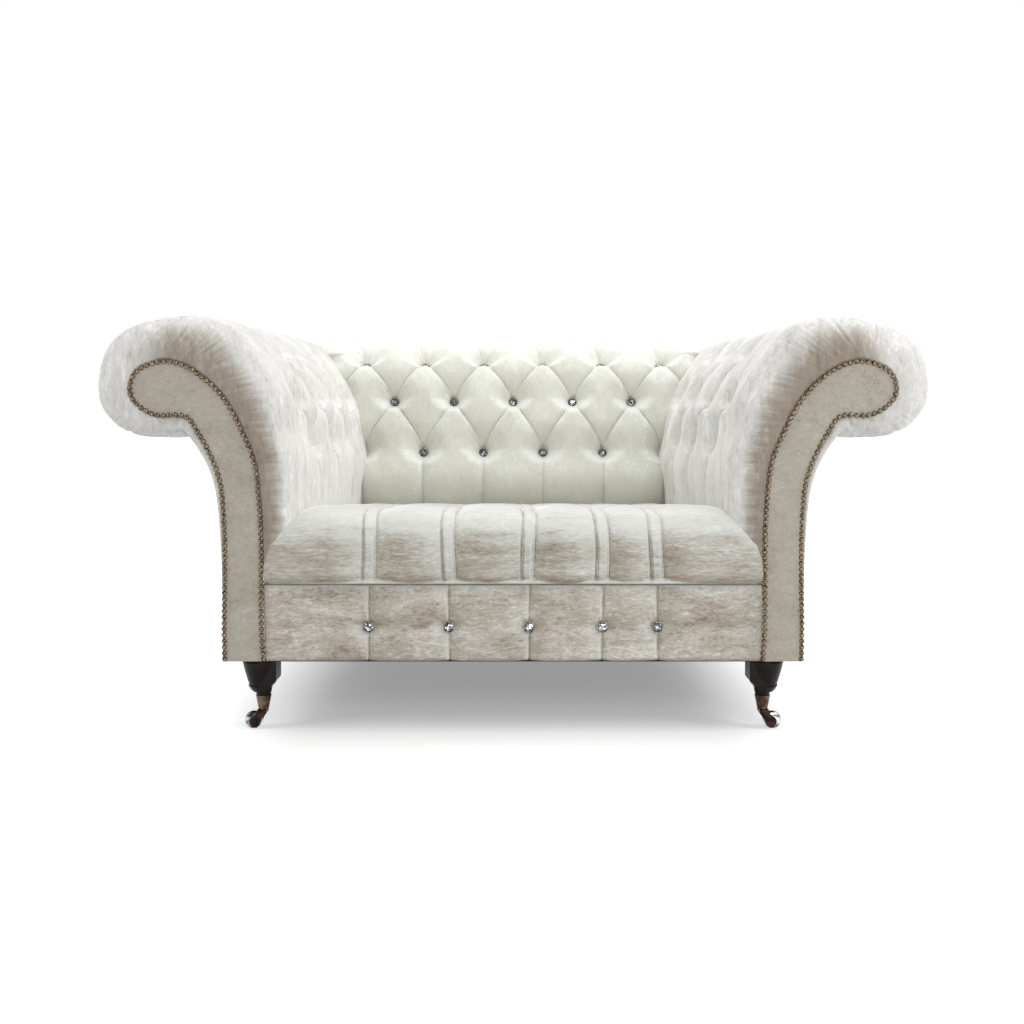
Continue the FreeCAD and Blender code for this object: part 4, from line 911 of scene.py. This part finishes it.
def seat():
    line, normal = with_normals(smooth_path(SEAT_PROFILE, 0.0036))
    at = chords(line)[:, None]
    limit = side_limit(line[:, 0], line[:, 1])[:, None]
    u = np.linspace(-1, 1, FRONT_COLUMNS) * FRONT_HALF
    across = squeezed(u, SEAT_KEEP, FRONT_HALF, limit)
    off = np.zeros(across.shape)
    fade = smooth((at + 0.004) / 0.010) * (1 - 0.75 * smooth((at - 0.30) / 0.25))
    for k, place in enumerate(PLEATS):
        d = across - place - 0.0025 * np.sin(at * 21 + k * 2.1)
        past = np.abs(d) - PLEAT_HALF
        groove = 0.0050 * np.exp(-(past / 0.0026) ** 2)
        groove += 0.0016 * np.exp(-((d - 0.0075) / 0.0018) ** 2)
        valley = 0.0110 * np.clip(1 - past / 0.066, 0, 1) ** 1.8
        band = 0.0092 + 0.0036 * d / PLEAT_HALF
        off -= (groove + np.where(past < 0, band, valley)) * fade
    side = rounded((limit - np.abs(across)) / 0.05)
    off -= (1 - side) * 0.012 * smooth((at - 0.02) / 0.08)
    off -= 0.0008 * smooth((0.006 - at) / 0.006)
    off += 0.0010 * waves(grid(across, line[:, :1], line[:, 1:]), 0.16, 31) * fade
    y, z = along_rays(line, normal, off)
    z = np.maximum(z, SEAM + 0.0003)
    inner = [grid(across[:, column], line[:, 0], np.minimum(SEAM + 0.0004, z[:, column]))
             for column in (0, -1)]
    closed_pad("seat_cover", grid(across, y, z), *inner, seat_velvet, "seat_pad", 0.8)


def border():
    low, top = UNDERSIDE + 0.0004, SEAM - 0.0006
    up = np.linspace(low, top, 60)
    half = (inner_line_x(up) - 0.0032)[:, None]
    u = np.linspace(-1, 1, FRONT_COLUMNS) * half[0]
    across = squeezed(u, BORDER_KEEP, half[0], half)
    z = np.broadcast_to(up[:, None], across.shape)
    face = 0.003 * (1 - rounded(np.minimum((top - z) / 0.006, (z - low) / 0.008)))
    face += 0.0032 * np.clip(1 - (top - z) / 0.040, 0, 1) ** 2
    face += 0.0018 * np.exp(-((z - BORDER_BUTTON_Z) / 0.016) ** 2)
    face += 0.0006 * (1 - rounded((half - np.abs(across)) / 0.02))
    lines = []
    for k, place in enumerate(PLEATS):
        lean = 0.002 * math.sin(k * 1.7)
        line = np.array([(place + lean, low), (place, BORDER_BUTTON_Z), (place - lean, top)])
        lines.append((line, (0.8, 1.0, 0.7)))
    pits = [(x, BORDER_BUTTON_Z, 1.0, 0.0) for x in PLEATS]
    pit = pit_depth(across, z, pits, 0.0062, 0.012, 0.05)
    groove = crease_depth(across, z, lines, 0.052, 0.0085, 0.0024, 0.0036)
    face += pit + groove * (1 - 0.75 * pit / 0.0062)
    face += fan_pleats(across, z, pits, 23, 0.0006, 7, 1.4, 0.06)
    points = grid(across, BORDER_FACE + face, z)
    points[..., 1] -= 0.0007 * waves(points, 0.09, 41)
    inner = [grid(across[:, column], BORDER_FACE + 0.0195, up) for column in (0, -1)]
    closed_pad("border_cover", points, *inner, border_velvet, "border_pad", 0.8)


# Front legs: bulb turned outside the castor's axis, square shoulder inside it, neck. Turned
# profiles are depth below the top and radius, the shoulder's is distance inward and height.

LEG_TOP = UNDERSIDE - 0.0015
LEG_SIDES = 72
BULB_SHIFT = 0.006
BULB = [(0.0, 0.0366), (0.0015, 0.0374), (0.010, 0.0370), (0.022, 0.0340), (0.033, 0.0308),
        (0.0435, 0.0276), (0.050, 0.0254), (0.0535, 0.0243)]
BULB_FOOT = [(0.0542, 0.0252), (0.0560, 0.0256), (0.0577, 0.0250), (0.0590, 0.0236),
             (0.0640, 0.0212), (0.0690, 0.0160)]
LEG_NECK = [(0.020, 0.0200), (0.0440, 0.0208), (0.052, 0.0196), (0.061, 0.0182), (0.067, 0.0172),
            (0.0705, 0.0164), (0.0735, 0.0154), (0.0765, 0.0150)]
SHOULDER = [(0.0, 0.0), (0.0375, 0.0), (0.0375, -0.042), (0.0358, -0.0450), (0.0310, -0.0485),
            (0.0280, -0.0530), (0.0268, -0.0570), (0.0, -0.0570)]
SHOULDER_HALF = 0.026
BEVEL = 0.0015


def lathe(profile, x, y):
    """Points of a turned solid, ring after ring."""
    turn = np.linspace(0, 2 * math.pi, LEG_SIDES, endpoint=False)
    return [(x + r * math.cos(a), y + r * math.sin(a), LEG_TOP - depth)
            for depth, r in profile for a in turn]


def front_leg(word, side):
    low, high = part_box(f"castor_cup_{word}")
    x, y = (low[0] + high[0]) / 2, (low[1] + high[1]) / 2
    centre = x + side * BULB_SHIFT
    bulb = np.concatenate([smooth_path(BULB, 0.0015), BULB_FOOT])
    shoulder = []
    for along, inset in ((-SHOULDER_HALF, BEVEL), (BEVEL - SHOULDER_HALF, 0),
                         (SHOULDER_HALF - BEVEL, 0), (SHOULDER_HALF, BEVEL)):
        for across, up in SHOULDER:
            reach = max(across - inset, 0.0)
            shoulder.append((centre - side * reach, y + along, LEG_TOP + min(up + inset, 0.0)))
    verts, faces = [], []
    for solid, count in ((lathe(bulb, centre, y), LEG_SIDES), (lathe(LEG_NECK, x, y), LEG_SIDES),
                         (shoulder, len(SHOULDER))):
        size = len(solid) // count, count, len(verts)
        faces += ring_faces(*size) + end_faces(*size)
        verts += solid
    leg = make_object(f"turned_leg_{word}", verts, faces, mahogany, f"front_leg_{word}")
    leg.data.set_sharp_from_angle(angle=math.radians(35))


# Buttons: cut crystal in a metal rim. Profiles are radius and lift.

RIM_PROFILE = [(0.0085, 0.0002), (0.0112, 0.0), (0.0120, 0.0010), (0.0119, 0.0026),
               (0.0110, 0.0038), (0.0102, 0.0040), (0.0096, 0.0034), (0.0093, 0.0018),
               (0.0085, 0.0012)]
RIM_SIDES = 40
GEM_PROFILE = [(0.0046, 0.0064), (0.0073, 0.0054), (0.0090, 0.0036), (0.0090, 0.0031),
               (0.0062, 0.0021), (0.0012, 0.0017)]
GEM_SIDES = 12


def button_axes(outward):
    """Directions sideways, up and out of a button that faces outward."""
    out = np.array(outward, float)
    out /= np.linalg.norm(out)
    side = np.cross([0, 0, 1], out)
    side /= np.linalg.norm(side)
    return np.stack([side, np.cross(out, side), out])


def turned_rings(profile, count, twist=0.0, phase=0.0):
    """Rings (x, y, lift) of a turned shape. Every second ring is turned on by twist steps."""
    radius, lift = np.array(profile).T[:, :, None]
    turned = (np.arange(len(profile)) % 2)[:, None] * twist + phase
    angle = 2 * math.pi * (np.arange(count) + turned) / count
    return grid(radius * np.cos(angle), radius * np.sin(angle), lift)


def gem_facets(start):
    """Triangles between the twisted rings of a gem, and its two flat ends."""
    faces = end_faces(len(GEM_PROFILE), GEM_SIDES, start)
    for i in range(len(GEM_PROFILE) - 1):
        a = start + i * GEM_SIDES
        b = a + GEM_SIDES
        for j in range(GEM_SIDES):
            k = (j + 1) % GEM_SIDES
            if i % 2:
                faces += [(a + j, b + j, b + k), (a + j, b + k, a + k)]
            else:
                faces += [(a + j, b + j, a + k), (a + k, b + j, b + k)]
    return faces


def buttons(stem, spots):
    """Rims and crystals at the spots, each a centre and an outward direction."""
    rim = turned_rings(RIM_PROFILE, RIM_SIDES)
    beads = 1 + 0.025 * np.cos(np.arange(RIM_SIDES) * math.pi)
    rim[3:6, :, :2] *= beads[:, None]
    rim_verts, rim_faces, gem_verts, gem_faces = [], [], [], []
    for number, (centre, outward) in enumerate(spots):
        axes = button_axes(outward)
        gem = turned_rings(GEM_PROFILE, GEM_SIDES, 0.5, 0.13 * number)
        size = len(RIM_PROFILE), RIM_SIDES, len(rim_verts)
        rim_faces += ring_faces(*size) + end_faces(*size)
        gem_faces += gem_facets(len(gem_verts))
        rim_verts.extend(centre + rim.reshape(-1, 3) @ axes)
        gem_verts.extend(centre + gem.reshape(-1, 3) @ axes)
    make_object(f"{stem}_rims", rim_verts, rim_faces, button_metal, f"{stem}_button_settings")
    make_object(f"{stem}_crystals", gem_verts, gem_faces, crystal, f"{stem}_button_crystals",
                flat=True)


def all_buttons():
    """Buttons of the border, and of the back's first three rows where the arms don't hide them."""
    spots = []
    for index, depth, steps in ((3, TUFT_DEPTH, (-1.5, -0.5, 0.5, 1.5)),
                                (5, TUFT_DEPTH, (-2, -1, 0, 1, 2)),
                                (7, 0.9 * TUFT_DEPTH, (-2.5, -1.5, -0.5, 0.5, 1.5, 2.5))):
        foot, tip = from_rear([BACK_FEET[index], BACK_OUTER[index]])
        reach = np.linalg.norm(tip - foot)
        turn = (tip - foot) / reach
        place = foot + turn * (reach - depth + BUTTON_LIFT)
        spots += [((k * BACK_PITCH, *place), (0, *turn)) for k in steps]
    buttons("back", spots)
    face = BORDER_FACE + 0.0035
    buttons("border", [((x, face, BORDER_BUTTON_Z), (0, -1, 0)) for x in PLEATS])


# Outside back

def outside_back():
    low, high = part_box("outside_back")
    x, z = np.meshgrid(np.linspace(low.x + 0.0002, high.x - 0.0002, 110),
                       np.linspace(low.z + 0.0002, high.z - 0.0002, 60))
    edge = np.minimum(np.minimum(x - low.x, high.x - x), np.minimum(z - low.z, high.z - z)) / 0.016
    edge = np.clip(edge, 0, 1)
    points = grid(x, high.y + 0.0035 * rounded(edge) - 0.001, z)
    points[..., 1] += 0.0008 * waves(points, 0.19, 51) * edge
    inner = [grid(x[:, column], low.y + 0.0003, z[:, column]) for column in (0, -1)]
    closed_pad("outside_back_cover", points, *inner, outer_velvet, "outside_back", 0.9)


# Stage, light and camera

FLOOR_REACH = 30.0
FLOOR_TONE = 0.72
# Glow in the painted shadow area round the sofa, and far from it.
SHADOW_AREA_GLOW = 0.29
FAR_GLOW = 0.89


def stage():
    """Pale floor that takes the sofa's real shadow and reads as white further away. Its glow is
    weaker in a box round the sofa: a painted shadow area over the real shadow.
    """
    m = new_material("pale_floor")
    m.nodes.remove(m.shader)
    path = m.add("LightPath", 0).node.outputs
    seen = m.math("MAXIMUM", path["Is Camera Ray"], path["Is Glossy Ray"])
    seen = m.math("MAXIMUM", seen, path["Is Transmission Ray"])
    x, y, _ = m.axes()
    # Painted shadow area: weak glow within about 0.4 m across and 0.5 m along Y of the centre,
    # rising to full glow beyond 0.8 m and 0.86 m.
    far = m.math("MAXIMUM", m.step(m.math("ABSOLUTE", x), 0.40, 0.80),
                 m.step(m.math("ABSOLUTE", y), 0.52, 0.86))
    level = m.math("MULTIPLY_ADD", far, FAR_GLOW - SHADOW_AREA_GLOW, SHADOW_AREA_GLOW)
    glow = m.add("Emission", 0, {"Color": (1, 1, 1, 1),
                                 "Strength": m.math("MULTIPLY", seen, level)})
    diffuse = m.add("BsdfDiffuse", 0, {"Color": (FLOOR_TONE, FLOOR_TONE, FLOOR_TONE, 1)})
    out = next(node for node in m.nodes if node.type == "OUTPUT_MATERIAL")
    m.feed(out.inputs["Surface"], m.add("AddShader", 0, {0: diffuse, 1: glow}))
    mesh = bpy.data.meshes.new("floor")
    corners = [(-1, -1), (1, -1), (1, 1), (-1, 1)]
    mesh.from_pydata([(x * FLOOR_REACH, y * FLOOR_REACH, 0) for x, y in corners], [],
                     [(0, 1, 2, 3)])
    mesh.materials.append(m.owner)
    floor = bpy.data.objects.new("floor", mesh)
    bpy.context.scene.collection.objects.link(floor)


def area_light(name, place, aim, size, power):
    data = bpy.data.lights.new(name, "AREA")
    data.shape = "RECTANGLE"
    data.size, data.size_y = size
    data.energy = power
    lamp = bpy.data.objects.new(name, data)
    lamp.location = place
    lamp.rotation_euler = (Vector(aim) - Vector(place)).to_track_quat("-Z", "Y").to_euler()
    bpy.context.scene.collection.objects.link(lamp)


def lights():
    """White world, dimmer for light than for the camera, and four soft lights."""
    world = Nodes(bpy.data.worlds.new("studio"))
    background = world.nodes["Background"].inputs
    world.feed(background["Color"], (1, 1, 1, 1))
    seen = world.add("LightPath", "Is Camera Ray")
    world.feed(background["Strength"], world.math("MULTIPLY_ADD", seen, 0.6, 0.4))
    bpy.context.scene.world = world.owner
    area_light("top_light", (0.3, 0.3, 2.8), (0, 0.0, 0.4), (3.0, 2.2), 54)
    area_light("right_light", (2.5, -1.2, 1.9), (-0.3, 0, 0.5), (1.4, 1.2), 30)
    area_light("left_light", (-2.5, -1.2, 1.9), (0.3, 0, 0.5), (1.4, 1.2), 24)
    area_light("front_light", (0.9, -3.6, 1.9), (0, 0, 0.5), (2.0, 1.4), 34)


def camera():
    data = bpy.data.cameras.new("camera")
    data.sensor_width = 36.0
    data.lens = 37.185
    data.shift_x = -0.001
    data.shift_y = -0.1025
    data.clip_end = 60
    thing = bpy.data.objects.new("camera", data)
    thing.location = (0.0, -2.65, 0.681)
    thing.rotation_euler = (math.pi / 2, 0, 0)
    bpy.context.scene.collection.objects.link(thing)
    bpy.context.scene.camera = thing


finish_cad_nodes()
arms()
back()
seat()
border()
all_buttons()
outside_back()
for word, side in SIDES.items():
    front_leg(word, side)
stage()
lights()
camera()
bpy.context.scene.view_settings.view_transform = "Standard"
